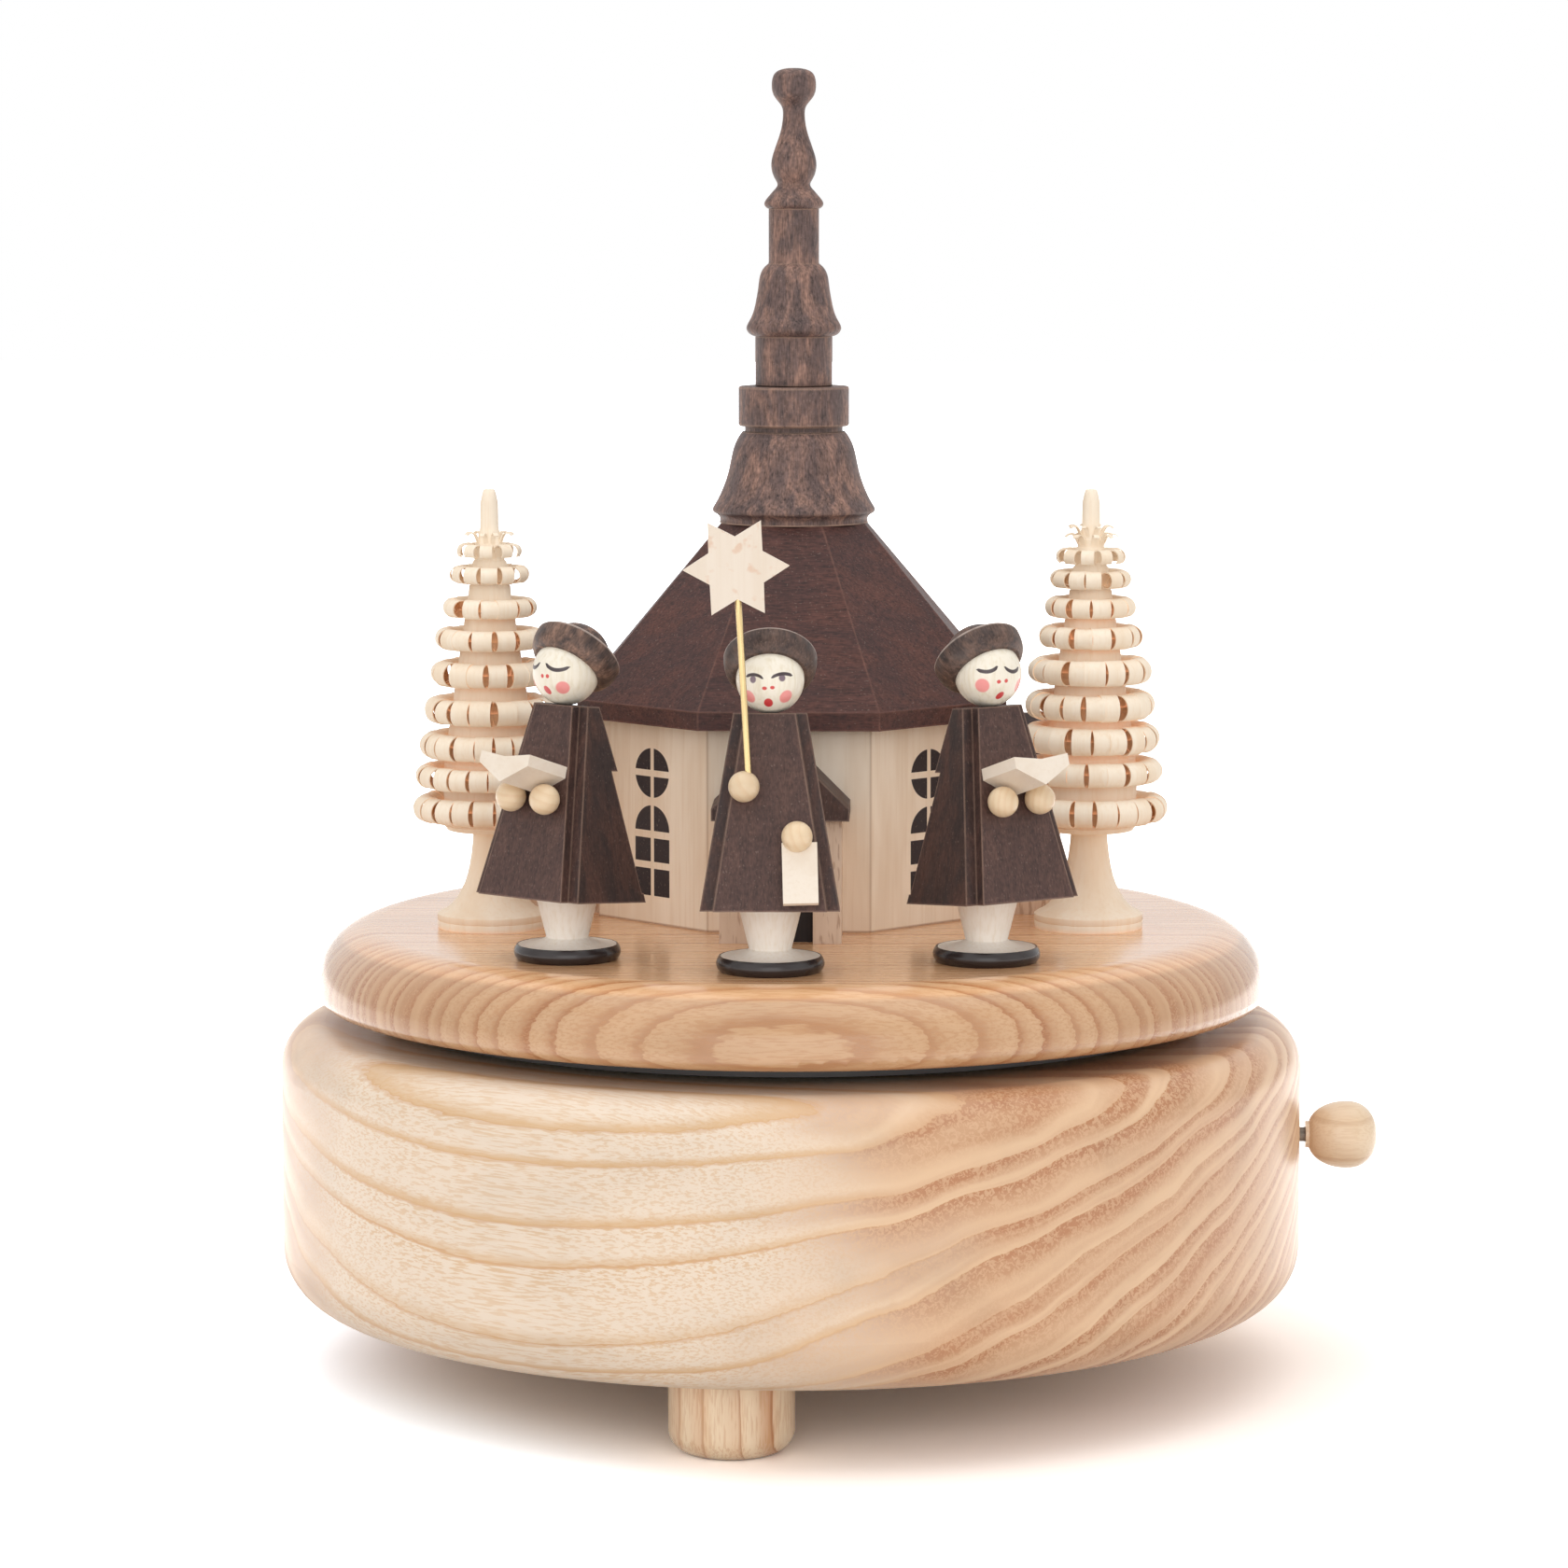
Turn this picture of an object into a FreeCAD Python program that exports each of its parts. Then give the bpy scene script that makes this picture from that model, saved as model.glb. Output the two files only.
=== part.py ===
import FreeCAD, Part
import math
import os

# Wooden music box with a turning village scene. Millimetres, +Z up.
# The origin is on the table under the middle of the round base; the church front faces -Y.

V = FreeCAD.Vector
Z_AXIS = V(0, 0, 1)
FIT = 0.05
GLUE_HOLE = 0.02

# Base, turned from one block of ash
FOOT_HEIGHT = 10.5
BASE_RADIUS = 70.0
BASE_TOP = 48.5
BASE_LOWER_ROUND = 7.2
BASE_UPPER_ROUND = 6.0
CAVITY_RADIUS = 40.6
CAVITY_TOP = 42.5
BOARD_RADIUS = 43.4
BOARD_THICKNESS = 5.0
FOOT_RADIUS = 8.2
FOOT_CIRCLE = 52.4
FOOT_ANGLES = (-97.0, 23.0, 143.0)
FOOT_TENON_RADIUS = 4.0
FOOT_TENON_LENGTH = 9.0

# Turntable
TABLE_RADIUS = 65.2
TABLE_BOTTOM = 51.4
TABLE_TOP = 61.6
TABLE_UPPER_ROUND = 8.1
TABLE_LOWER_ROUND = 1.9
DRIVE_DISC_RADIUS = 56.0
DRIVE_DISC_THICKNESS = 2.0
SHAFT_RADIUS = 2.5
SHAFT_TOP = 57.5
HUB_RADIUS = 9.0
HUB_THICKNESS = 1.5
HUB_SCREW_CIRCLE = 6.5
RECESS_RADIUS = 10.0
RECESS_FLOOR = 46.0

# Stop knob on the right of the base
KNOB_Z = 32.1
KNOB_TRAVEL = 4.0
ROD_RADIUS = 1.0
PAD_RADIUS = 2.0
PAD_FACE_X = 39.5
PAD_THICKNESS = 1.0
ROD_BORE_RADIUS = 2.5
ROD_BORE_END = PAD_FACE_X + PAD_THICKNESS + KNOB_TRAVEL + 5.5
BUSH_START = ROD_BORE_END + 2.0
BUSH_RADIUS = 2.0

# Bearings, arbors and screws that several pieces share
DECK_BUSH_RADIUS = 4.0
WINDING_ARBOR_RADIUS = 1.6
CYLINDER_ARBOR_RADIUS = 1.0
GOVERNOR_PIVOT_RADIUS = 0.7
FAN_PIVOT_RADIUS = 0.6
MACHINE_SCREW_RADIUS = 1.0
SMALL_SCREW_RADIUS = 0.8
COUNTERSINK_RADIUS = 1.3
COUNTERSINK_DEPTH = 1.0

# Movement, in its own frame: the pinned cylinder lies along +X of that frame
BEDPLATE_THICKNESS = 3.0
BARREL_RADIUS = 11.7
BARREL_BOTTOM = 19.2
BARREL_LID = 26.2
CROWN_TEETH = 30
CROWN_RADIUS = 10.5
CROWN_PITCH_Z = 27.6
PINION_TEETH = 15
PINION_RADIUS = CROWN_RADIUS * PINION_TEETH / CROWN_TEETH
DRUM_RADIUS = 6.5
DRUM_START = 14.3
NOTES = 18
NOTE_PITCH = 0.8
PIN_HEIGHT = 0.45
WHEEL_TEETH = 32
GOVERNOR_TEETH = 8
SMALL_MODULE = 0.5
WORM_WHEEL_TEETH = 16
WORM_RADIUS = 1.5
GOVERNOR_Y = 8.5
GOVERNOR_Z = 27.5
FAN_X = 33.4
FAN_Y = GOVERNOR_Y + SMALL_MODULE * WORM_WHEEL_TEETH / 2 + WORM_RADIUS
MOVEMENT_TURN = -math.degrees(math.atan2(FAN_Y, FAN_X))

# Church
CHURCH_Y = 15.0
WALL_CIRCUMRADIUS = 28.9
WALL_THICKNESS = 3.0
WALL_TOP = 89.3
EAVE_CIRCUMRADIUS = 31.95
EAVE_TOP = 91.8
ROOF_TOP = 115.5
ROOF_TOP_CIRCUMRADIUS = 10.8
PORCH_X = -0.9
PORCH_WIDTH = 16.3
PORCH_DEPTH = 10.4
PORCH_WALL_TOP = 78.15
PORCH_DOOR_WIDTH = 8.7
PORCH_DOOR_HEIGHT = 11.5
PORCH_ROOF_HALF = 9.2
PORCH_RIDGE = 88.95
PORCH_FASCIA = 1.6

# Trees
TREES = (("tree_left", -40.7, -6.6), ("tree_right", 40.7, -4.9))
TREE_TOP = 121.3
TREE_SKIRT = 74.9
TIER_HEIGHTS = (78.4, 82.9, 87.4, 92.0, 96.6, 101.1, 105.2, 108.9, 112.0, 114.4)

# Singers: name, place on the turntable, heading away from -Y towards -X in degrees
SINGERS = (("left", -28.4, -36.0, 38.5), ("centre", -1.55, -46.0, -1.2), ("right", 26.4, -37.0, -35.5))
COAT_BOTTOM = 70.5
COAT_TOP = 95.2
CAPE_BOTTOM = 87.1
HEM_TOP = 71.7
COAT_FALL = 0.09
COAT_HALF_WIDTH = (8.95, 4.75)
COAT_PANEL_HALF = (7.25, 3.25)
COAT_FRONT = (9.2, 2.4)
PANEL_STEP = 1.4
PEG_RADIUS = 2.5
PEG_LENGTH = 6.0
HEAD_RADIUS = 4.38
HEAD_Z = 99.3
HAND_RADIUS = 2.0
HAND_REACH = 1.85
STAR_HANDS = ((-3.3, 86.25), (3.45, 80.05))
BOOK_HANDS = ((-2.95, 83.45), (2.95, 83.45))
HAT_TILT = {"left": 44.0, "centre": 47.0, "right": 44.0}
BOOK_TILT = 17.5
BOOK_INNER_Z = 87.45

INRADIUS_SHARE = math.cos(math.radians(22.5))
ARC_POINT = 1 - math.sqrt(0.5)


def save(name, shape):
    shape.exportStep("parts/" + name + ".step")


def cylinder(radius, z_low, z_high, x=0.0, y=0.0):
    return Part.makeCylinder(radius, z_high - z_low, V(x, y, z_low))


def rod_along_x(radius, x_low, x_high, y=0.0, z=0.0):
    return Part.makeCylinder(radius, x_high - x_low, V(x_low, y, z), V(1, 0, 0))


def box(x_low, x_high, y_low, y_high, z_low, z_high):
    return Part.makeBox(x_high - x_low, y_high - y_low, z_high - z_low, V(x_low, y_low, z_low))


def line(a, b):
    return Part.LineSegment(V(*a), V(*b)).toShape()


def curve(points):
    spline = Part.BSplineCurve()
    spline.interpolate([V(*p) for p in points])
    return spline.toShape()


def turned(edges, x=0.0, y=0.0, z=0.0):
    """Solid of revolution about +Z from edges in the XZ plane that start and end on the axis."""
    face = Part.Face(Part.Wire(edges))
    solid = face.revolve(V(0, 0, 0), Z_AXIS, 360)
    solid.translate(V(x, y, z))
    return solid


def turned_profile(parts, x=0.0, y=0.0, z=0.0):
    """Turned solid from runs of (radius, height) points. A run tagged curve is smooth."""
    edges = []
    last = None
    for kind, points in parts:
        spots = [(r, 0, h) for r, h in points]
        if last is not None and last != spots[0]:
            edges.append(line(last, spots[0]))
        if kind == "curve":
            edges.append(curve(spots))
        else:
            edges += [line(a, b) for a, b in zip(spots, spots[1:])]
        last = spots[-1]
    first = (parts[0][1][0][0], 0, parts[0][1][0][1])
    if last != first:
        edges.append(line(last, first))
    return turned(edges, x, y, z)


def bun(radius, z_low, z_high, round_low, round_high):
    """Disc with a quarter round at its lower and upper edge."""
    turn_low = round_low * ARC_POINT
    turn_high = round_high * ARC_POINT
    low_arc = Part.Arc(V(radius - round_low, 0, z_low), V(radius - turn_low, 0, z_low + turn_low),
                       V(radius, 0, z_low + round_low)).toShape()
    high_arc = Part.Arc(V(radius, 0, z_high - round_high), V(radius - turn_high, 0, z_high - turn_high),
                        V(radius - round_high, 0, z_high)).toShape()
    edges = [line((0, 0, z_low), (radius - round_low, 0, z_low)), low_arc]
    if z_high - round_high - z_low - round_low > 0.001:
        edges.append(line((radius, 0, z_low + round_low), (radius, 0, z_high - round_high)))
    edges += [high_arc, line((radius - round_high, 0, z_high), (0, 0, z_high)),
              line((0, 0, z_high), (0, 0, z_low))]
    return turned(edges)


def ring_points(radius, count, start=0.0):
    step = 2 * math.pi / count
    first = math.radians(start)
    return [(radius * math.cos(first + k * step), radius * math.sin(first + k * step))
            for k in range(count)]


def prism(points, z_low, z_high):
    wire = Part.makePolygon([V(x, y, z_low) for x, y in points] + [V(points[0][0], points[0][1], z_low)])
    return Part.Face(wire).extrude(V(0, 0, z_high - z_low))


def frustum(low_points, z_low, high_points, z_high, fall=0.0):
    """Ruled solid between two outlines with the same number of corners.

    With a fall, both outlines slope down from their foremost corner towards +Y."""
    wires = []
    for points, z in ((low_points, z_low), (high_points, z_high)):
        front = min(y for x, y in points)
        closed = list(points) + [points[0]]
        wires.append(Part.makePolygon([V(x, y, z - fall * (y - front)) for x, y in closed]))
    return Part.makeLoft(wires, True, True)


def screw(x, y, head_z, shank_end, radius, head_radius, head_height, slot=0.35):
    """Slotted screw. The head lies beyond head_z, away from the shank."""
    down = 1 if shank_end < head_z else -1
    low, high = sorted((shank_end, head_z))
    shank = cylinder(radius, low, high, x, y)
    low, high = sorted((head_z, head_z + down * head_height))
    head = cylinder(head_radius, low, high, x, y)
    far = head_z + down * head_height
    low, high = sorted((far, far - down * head_height * 0.45))
    groove = box(x - head_radius, x + head_radius, y - slot / 2, y + slot / 2, low, high)
    return shank.fuse(head).cut(groove).removeSplitter()


def gear(teeth, pitch_radius, width, phase, addendum, dedendum, share=0.35):
    """Spur gear about +Z from z 0 to width, with slender teeth that leave clear backlash."""
    pitch = 2 * math.pi / teeth
    half = share * pitch / 2
    root = pitch_radius - dedendum
    tip = pitch_radius + addendum
    points = []
    for k in range(teeth):
        middle = math.radians(phase) + k * pitch
        for radius, reach in ((root, -1.5 * half), (tip, -0.6 * half), (tip, 0.6 * half), (root, 1.5 * half)):
            points.append((radius * math.cos(middle + reach), radius * math.sin(middle + reach)))
    return prism(points, 0, width)


def along_x(shape, x, y, z):
    """Turn a shape built about +Z so that its axis is +X; its +X side then looks down."""
    shape.rotate(V(0, 0, 0), V(0, 1, 0), 90)
    shape.translate(V(x, y, z))
    return shape


def in_movement(shape):
    shape.rotate(V(0, 0, 0), Z_AXIS, MOVEMENT_TURN)
    return shape


def group(shapes):
    return Part.makeCompound(shapes)


# Heights that follow from the ones above
BOARD_TOP = FOOT_HEIGHT + BOARD_THICKNESS
BEDPLATE_TOP = BOARD_TOP + BEDPLATE_THICKNESS
DRIVE_DISC_BOTTOM = TABLE_BOTTOM - DRIVE_DISC_THICKNESS
HUB_BOTTOM = DRIVE_DISC_BOTTOM - HUB_THICKNESS
CYLINDER_Z = CROWN_PITCH_Z + PINION_RADIUS
DRUM_END = DRUM_START + NOTES * NOTE_PITCH + 0.8
WHEEL_RADIUS = SMALL_MODULE * WHEEL_TEETH / 2
WHEEL_X = DRUM_END + 0.5
WHEEL_WIDTH = 1.4
OUTER_POST_X = WHEEL_X + WHEEL_WIDTH + 0.4
POST_WIDTH = 1.6
INNER_POST_X = BARREL_RADIUS + 0.5
WORM_LEAD = math.pi * SMALL_MODULE
MESH_TURN = math.degrees(math.atan2(GOVERNOR_Y, CYLINDER_Z - GOVERNOR_Z))


def foot_places():
    return [(FOOT_CIRCLE * math.cos(math.radians(a)), FOOT_CIRCLE * math.sin(math.radians(a)))
            for a in FOOT_ANGLES]


BOARD_SCREWS = ring_points(41.8, 3, 83.0)
HUB_SCREWS = ring_points(HUB_SCREW_CIRCLE, 3, 30.0)
BEDPLATE_SCREWS = ((-10.0, -19.0), (-9.0, 15.0), (36.0, -8.0))
COMB_SCREWS = ((18.0, -19.0), (26.0, -19.0))


def make_base():
    body = bun(BASE_RADIUS, FOOT_HEIGHT, BASE_TOP, BASE_LOWER_ROUND, BASE_UPPER_ROUND)
    body = body.cut(cylinder(BOARD_RADIUS + 0.1, FOOT_HEIGHT, BOARD_TOP))
    body = body.cut(cylinder(CAVITY_RADIUS, BOARD_TOP, CAVITY_TOP))
    body = body.cut(cylinder(DECK_BUSH_RADIUS + GLUE_HOLE, CAVITY_TOP, RECESS_FLOOR))
    body = body.cut(cylinder(RECESS_RADIUS, RECESS_FLOOR, BASE_TOP))
    for x, y in foot_places():
        body = body.cut(cylinder(FOOT_TENON_RADIUS + GLUE_HOLE, FOOT_HEIGHT,
                                 FOOT_HEIGHT + FOOT_TENON_LENGTH + 0.5, x, y))
    for x, y in BOARD_SCREWS:
        body = body.cut(cylinder(SMALL_SCREW_RADIUS + GLUE_HOLE, BOARD_TOP, BOARD_TOP + 6.0, x, y))
    body = body.cut(rod_along_x(ROD_BORE_RADIUS, CAVITY_RADIUS - 3, ROD_BORE_END, 0, KNOB_Z))
    body = body.cut(rod_along_x(BUSH_RADIUS + GLUE_HOLE, ROD_BORE_END, BASE_RADIUS + 1, 0, KNOB_Z))
    save("base_body", body)

    feet = []
    for x, y in foot_places():
        arc = Part.Arc(V(FOOT_RADIUS - 3.0, 0, 0), V(FOOT_RADIUS - 3.0 * ARC_POINT, 0, 3.0 * ARC_POINT),
                       V(FOOT_RADIUS, 0, 3.0)).toShape()
        path = [(FOOT_RADIUS, 0, 3.0), (FOOT_RADIUS, 0, FOOT_HEIGHT), (FOOT_TENON_RADIUS, 0, FOOT_HEIGHT),
                (FOOT_TENON_RADIUS, 0, FOOT_HEIGHT + FOOT_TENON_LENGTH), (0, 0, FOOT_HEIGHT + FOOT_TENON_LENGTH),
                (0, 0, 0), (FOOT_RADIUS - 3.0, 0, 0)]
        edges = [arc] + [line(a, b) for a, b in zip(path, path[1:])]
        feet.append(turned(edges, x, y))
    save("feet", group(feet))

    board = cylinder(BOARD_RADIUS, FOOT_HEIGHT, BOARD_TOP)
    board = board.cut(cylinder(3.0, FOOT_HEIGHT, BOARD_TOP))
    for x, y in BOARD_SCREWS:
        board = board.cut(cylinder(SMALL_SCREW_RADIUS + GLUE_HOLE, FOOT_HEIGHT, BOARD_TOP, x, y))
        board = board.cut(cylinder(COUNTERSINK_RADIUS, FOOT_HEIGHT, FOOT_HEIGHT + COUNTERSINK_DEPTH, x, y))
    for x, y in BEDPLATE_SCREWS:
        hole = cylinder(MACHINE_SCREW_RADIUS + GLUE_HOLE, BOARD_TOP - 4.0, BOARD_TOP, x, y)
        board = board.cut(in_movement(hole))
    save("bottom_board", board)
    head_z = FOOT_HEIGHT + COUNTERSINK_DEPTH
    screws = [screw(x, y, head_z, BOARD_TOP + 5.5, SMALL_SCREW_RADIUS, 1.25, 0.9) for x, y in BOARD_SCREWS]
    save("bottom_screws", group(screws))

    bush = cylinder(DECK_BUSH_RADIUS, CAVITY_TOP, RECESS_FLOOR)
    bush = bush.fuse(cylinder(DECK_BUSH_RADIUS + 0.5, RECESS_FLOOR, HUB_BOTTOM - FIT))
    save("deck_bush", bush.cut(cylinder(SHAFT_RADIUS + FIT, CAVITY_TOP, HUB_BOTTOM)).removeSplitter())


def make_stop():
    bush = rod_along_x(BUSH_RADIUS, BUSH_START, BASE_RADIUS - 0.2, 0, KNOB_Z)
    save("stop_bush", bush.cut(rod_along_x(ROD_RADIUS + FIT, ROD_BORE_END, BASE_RADIUS + 1, 0, KNOB_Z)))
    knob_edges = [
        line((0, 0, 70.9), (1.85, 0, 70.9)),
        line((1.85, 0, 70.9), (1.85, 0, 71.4)),
        curve([(1.85, 0, 71.4), (2.9, 0, 72.0), (4.05, 0, 73.6), (4.62, 0, 76.1), (4.3, 0, 78.4),
               (2.9, 0, 80.0), (0, 0, 80.6)]),
        line((0, 0, 80.6), (0, 0, 70.9)),
    ]
    knob = along_x(turned(knob_edges), 0, 0, KNOB_Z)
    save("stop_knob", knob.cut(rod_along_x(ROD_RADIUS + GLUE_HOLE, 70.0, 75.5, 0, KNOB_Z)))
    pad_back = PAD_FACE_X + PAD_THICKNESS
    save("stop_rod", rod_along_x(ROD_RADIUS, pad_back, 75.4, 0, KNOB_Z))
    save("stop_pad", rod_along_x(PAD_RADIUS, PAD_FACE_X, pad_back, 0, KNOB_Z))


def make_winding():
    arbor = cylinder(WINDING_ARBOR_RADIUS, 4.0, 26.0).fuse(cylinder(2.6, 20.3, 25.8)).removeSplitter()
    save("winding_arbor", arbor)
    lobes = []
    for side in (-1, 1):
        lobe = Part.makeCylinder(3.2, 1.2, V(side * 6.4, -0.6, 4.9), V(0, 1, 0))
        lobes.append(lobe.cut(Part.makeCylinder(1.4, 1.4, V(side * 6.9, -0.7, 4.9), V(0, 1, 0))))
    key = cylinder(2.6, 3.0, 10.0).fuse(box(-5.0, 5.0, -0.6, 0.6, 3.2, 6.6))
    key = key.fuse(lobes).cut(cylinder(WINDING_ARBOR_RADIUS + GLUE_HOLE, 4.0, 10.1)).removeSplitter()
    save("winding_key", key)

    helix = Part.makeHelix(0.75, 3.4, 2.05)
    helix.translate(V(0, 0, 11.6))
    ring = Part.Wire([Part.makeCircle(0.25, V(2.05, 0, 11.6), V(0, 1, 0.0583))])
    spring = Part.Wire(helix.Edges).makePipeShell([ring], True, True)
    save("clutch_spring", spring)


def make_barrel():
    drum = cylinder(BARREL_RADIUS, BARREL_BOTTOM, BARREL_LID)
    drum = drum.cut(cylinder(BARREL_RADIUS - 0.7, BARREL_BOTTOM + 0.8, BARREL_LID))
    save("barrel_drum", drum.cut(cylinder(WINDING_ARBOR_RADIUS + FIT, BARREL_BOTTOM, BARREL_LID)))

    lid = cylinder(BARREL_RADIUS, BARREL_LID, BARREL_LID + 0.6)
    lid = lid.fuse(cylinder(9.2, BARREL_LID + 0.6, BARREL_LID + 0.8))
    tooth = [(-0.55, BARREL_LID + 0.5), (0.55, BARREL_LID + 0.5), (0.26, 28.1), (-0.26, 28.1)]
    teeth = []
    for k in range(CROWN_TEETH):
        outline = Part.makePolygon([V(9.3, y, z) for y, z in tooth + tooth[:1]])
        solid = Part.Face(outline).extrude(V(BARREL_RADIUS - 0.15 - 9.3, 0, 0))
        solid.rotate(V(0, 0, 0), Z_AXIS, MOVEMENT_TURN + (k + 0.5) * 360.0 / CROWN_TEETH)
        teeth.append(solid)
    save("barrel_crown", lid.fuse(teeth).removeSplitter())

    save("mainspring", make_spiral(3.0, 10.7, 7, 0.25, BARREL_BOTTOM + 1.1, BARREL_LID - 0.3))

    shaft = cylinder(SHAFT_RADIUS, BARREL_LID + 0.8, SHAFT_TOP)
    shaft = shaft.fuse(cylinder(4.0, BARREL_LID + 0.8, BARREL_LID + 1.6))
    hub = cylinder(HUB_RADIUS, HUB_BOTTOM, DRIVE_DISC_BOTTOM)
    for x, y in HUB_SCREWS:
        hub = hub.cut(cylinder(MACHINE_SCREW_RADIUS + GLUE_HOLE, HUB_BOTTOM, DRIVE_DISC_BOTTOM, x, y))
    save("output_shaft", shaft.fuse(hub).removeSplitter())


def make_spiral(r_start, r_end, turns, thickness, z_low, z_high):
    """Wound steel band: half turns whose centres alternate, so the band grows steadily."""
    step = (r_end - r_start) / (2 * turns)
    inner = []
    outer = []
    radius = r_start
    shift = step / 2
    for half in range(2 * turns):
        side = 1 if half % 2 == 0 else -1
        centre = side * shift
        for store, r in ((inner, radius), (outer, radius + thickness)):
            start = V(centre - side * r, 0, z_low)
            middle = V(centre, side * r, z_low)
            end = V(centre + side * r, 0, z_low)
            store.append(Part.Arc(start, middle, end).toShape())
        radius += step
    first = Part.LineSegment(inner[0].firstVertex().Point, outer[0].firstVertex().Point).toShape()
    last = Part.LineSegment(inner[-1].lastVertex().Point, outer[-1].lastVertex().Point).toShape()
    wire = Part.Wire(Part.__sortEdges__(inner + outer + [first, last]))
    return Part.Face(wire).extrude(V(0, 0, z_high - z_low))


def make_movement():
    plate = box(-14.0, 38.5, -23.0, 18.0, BOARD_TOP, BEDPLATE_TOP)
    plate = plate.common(cylinder(CAVITY_RADIUS - 0.6, BOARD_TOP, BEDPLATE_TOP))
    plate = plate.fuse(box(14.0, 30.0, -22.0, -16.4, BEDPLATE_TOP, CYLINDER_Z - 0.45))
    for x in (INNER_POST_X, OUTER_POST_X):
        post = box(x, x + POST_WIDTH, -3.0, 3.0, BEDPLATE_TOP, CYLINDER_Z)
        plate = plate.fuse(post).fuse(rod_along_x(3.0, x, x + POST_WIDTH, 0, CYLINDER_Z))
    plate = plate.cut(rod_along_x(CYLINDER_ARBOR_RADIUS + FIT, 10.0, 38.0, 0, CYLINDER_Z))
    plate = plate.cut(cylinder(WINDING_ARBOR_RADIUS + FIT, BOARD_TOP, BEDPLATE_TOP))
    for x, y in BEDPLATE_SCREWS:
        plate = plate.cut(cylinder(MACHINE_SCREW_RADIUS + GLUE_HOLE, BOARD_TOP, BEDPLATE_TOP, x, y))
    for x, y in COMB_SCREWS:
        plate = plate.cut(cylinder(SMALL_SCREW_RADIUS + GLUE_HOLE, CYLINDER_Z - 5.0, CYLINDER_Z, x, y))
    save("bedplate", in_movement(plate.removeSplitter()))
    screws = [screw(x, y, BEDPLATE_TOP, BOARD_TOP - 3.8, MACHINE_SCREW_RADIUS, 1.9, 1.1)
              for x, y in BEDPLATE_SCREWS]
    save("bedplate_screws", in_movement(group(screws)))

    comb_z = CYLINDER_Z - 0.45
    root_y = -15.8
    tip_y = -(DRUM_RADIUS + PIN_HEIGHT + 0.15)
    comb = box(14.0, 30.0, -21.6, root_y, comb_z, comb_z + 0.9)
    start = DRUM_START + 0.4
    comb = comb.fuse(box(start, start + NOTES * NOTE_PITCH, root_y, tip_y, comb_z + 0.2, comb_z + 0.7))
    for k in range(1, NOTES):
        x = start + k * NOTE_PITCH
        comb = comb.cut(box(x - 0.12, x + 0.12, root_y, tip_y + 0.1, comb_z, comb_z + 0.9))
    for x, y in COMB_SCREWS:
        comb = comb.cut(cylinder(SMALL_SCREW_RADIUS + GLUE_HOLE, comb_z, comb_z + 0.9, x, y))
    save("comb", in_movement(comb.removeSplitter()))
    screws = [screw(x, y, comb_z + 0.9, CYLINDER_Z - 4.8, SMALL_SCREW_RADIUS, 1.6, 1.0)
              for x, y in COMB_SCREWS]
    save("comb_screws", in_movement(group(screws)))

    drum = rod_along_x(DRUM_RADIUS, DRUM_START, DRUM_END, 0, CYLINDER_Z)
    drum = drum.cut(rod_along_x(CYLINDER_ARBOR_RADIUS + GLUE_HOLE, DRUM_START, DRUM_END, 0, CYLINDER_Z))
    pins = []
    for note in range(NOTES):
        x = start + (note + 0.5) * NOTE_PITCH
        for beat in range(3):
            turn = math.radians(12.0 + beat * 120.0 + (note * 137.5) % 110.0)
            side = V(0, math.sin(turn), -math.cos(turn))
            foot = V(x, 0, CYLINDER_Z) + side * (DRUM_RADIUS - 0.3)
            pins.append(Part.makeCylinder(0.14, PIN_HEIGHT + 0.3, foot, side))
    save("pinned_cylinder", in_movement(drum.fuse(pins)))
    arbor = rod_along_x(CYLINDER_ARBOR_RADIUS, 9.2, OUTER_POST_X + POST_WIDTH + 0.8, 0, CYLINDER_Z)
    save("cylinder_arbor", in_movement(arbor))
    bore = rod_along_x(CYLINDER_ARBOR_RADIUS + GLUE_HOLE, 9.0, 40.0, 0, CYLINDER_Z)
    pinion = along_x(gear(PINION_TEETH, PINION_RADIUS, 1.8, 0.0, 0.5, 0.8, 0.33), 9.6, 0, CYLINDER_Z)
    wheel = gear(WHEEL_TEETH, WHEEL_RADIUS, WHEEL_WIDTH, MESH_TURN, 0.42, 0.65)
    wheel = along_x(wheel, WHEEL_X, 0, CYLINDER_Z)
    save("cylinder_gears", in_movement(group([pinion.cut(bore), wheel.cut(bore)])))


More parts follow.
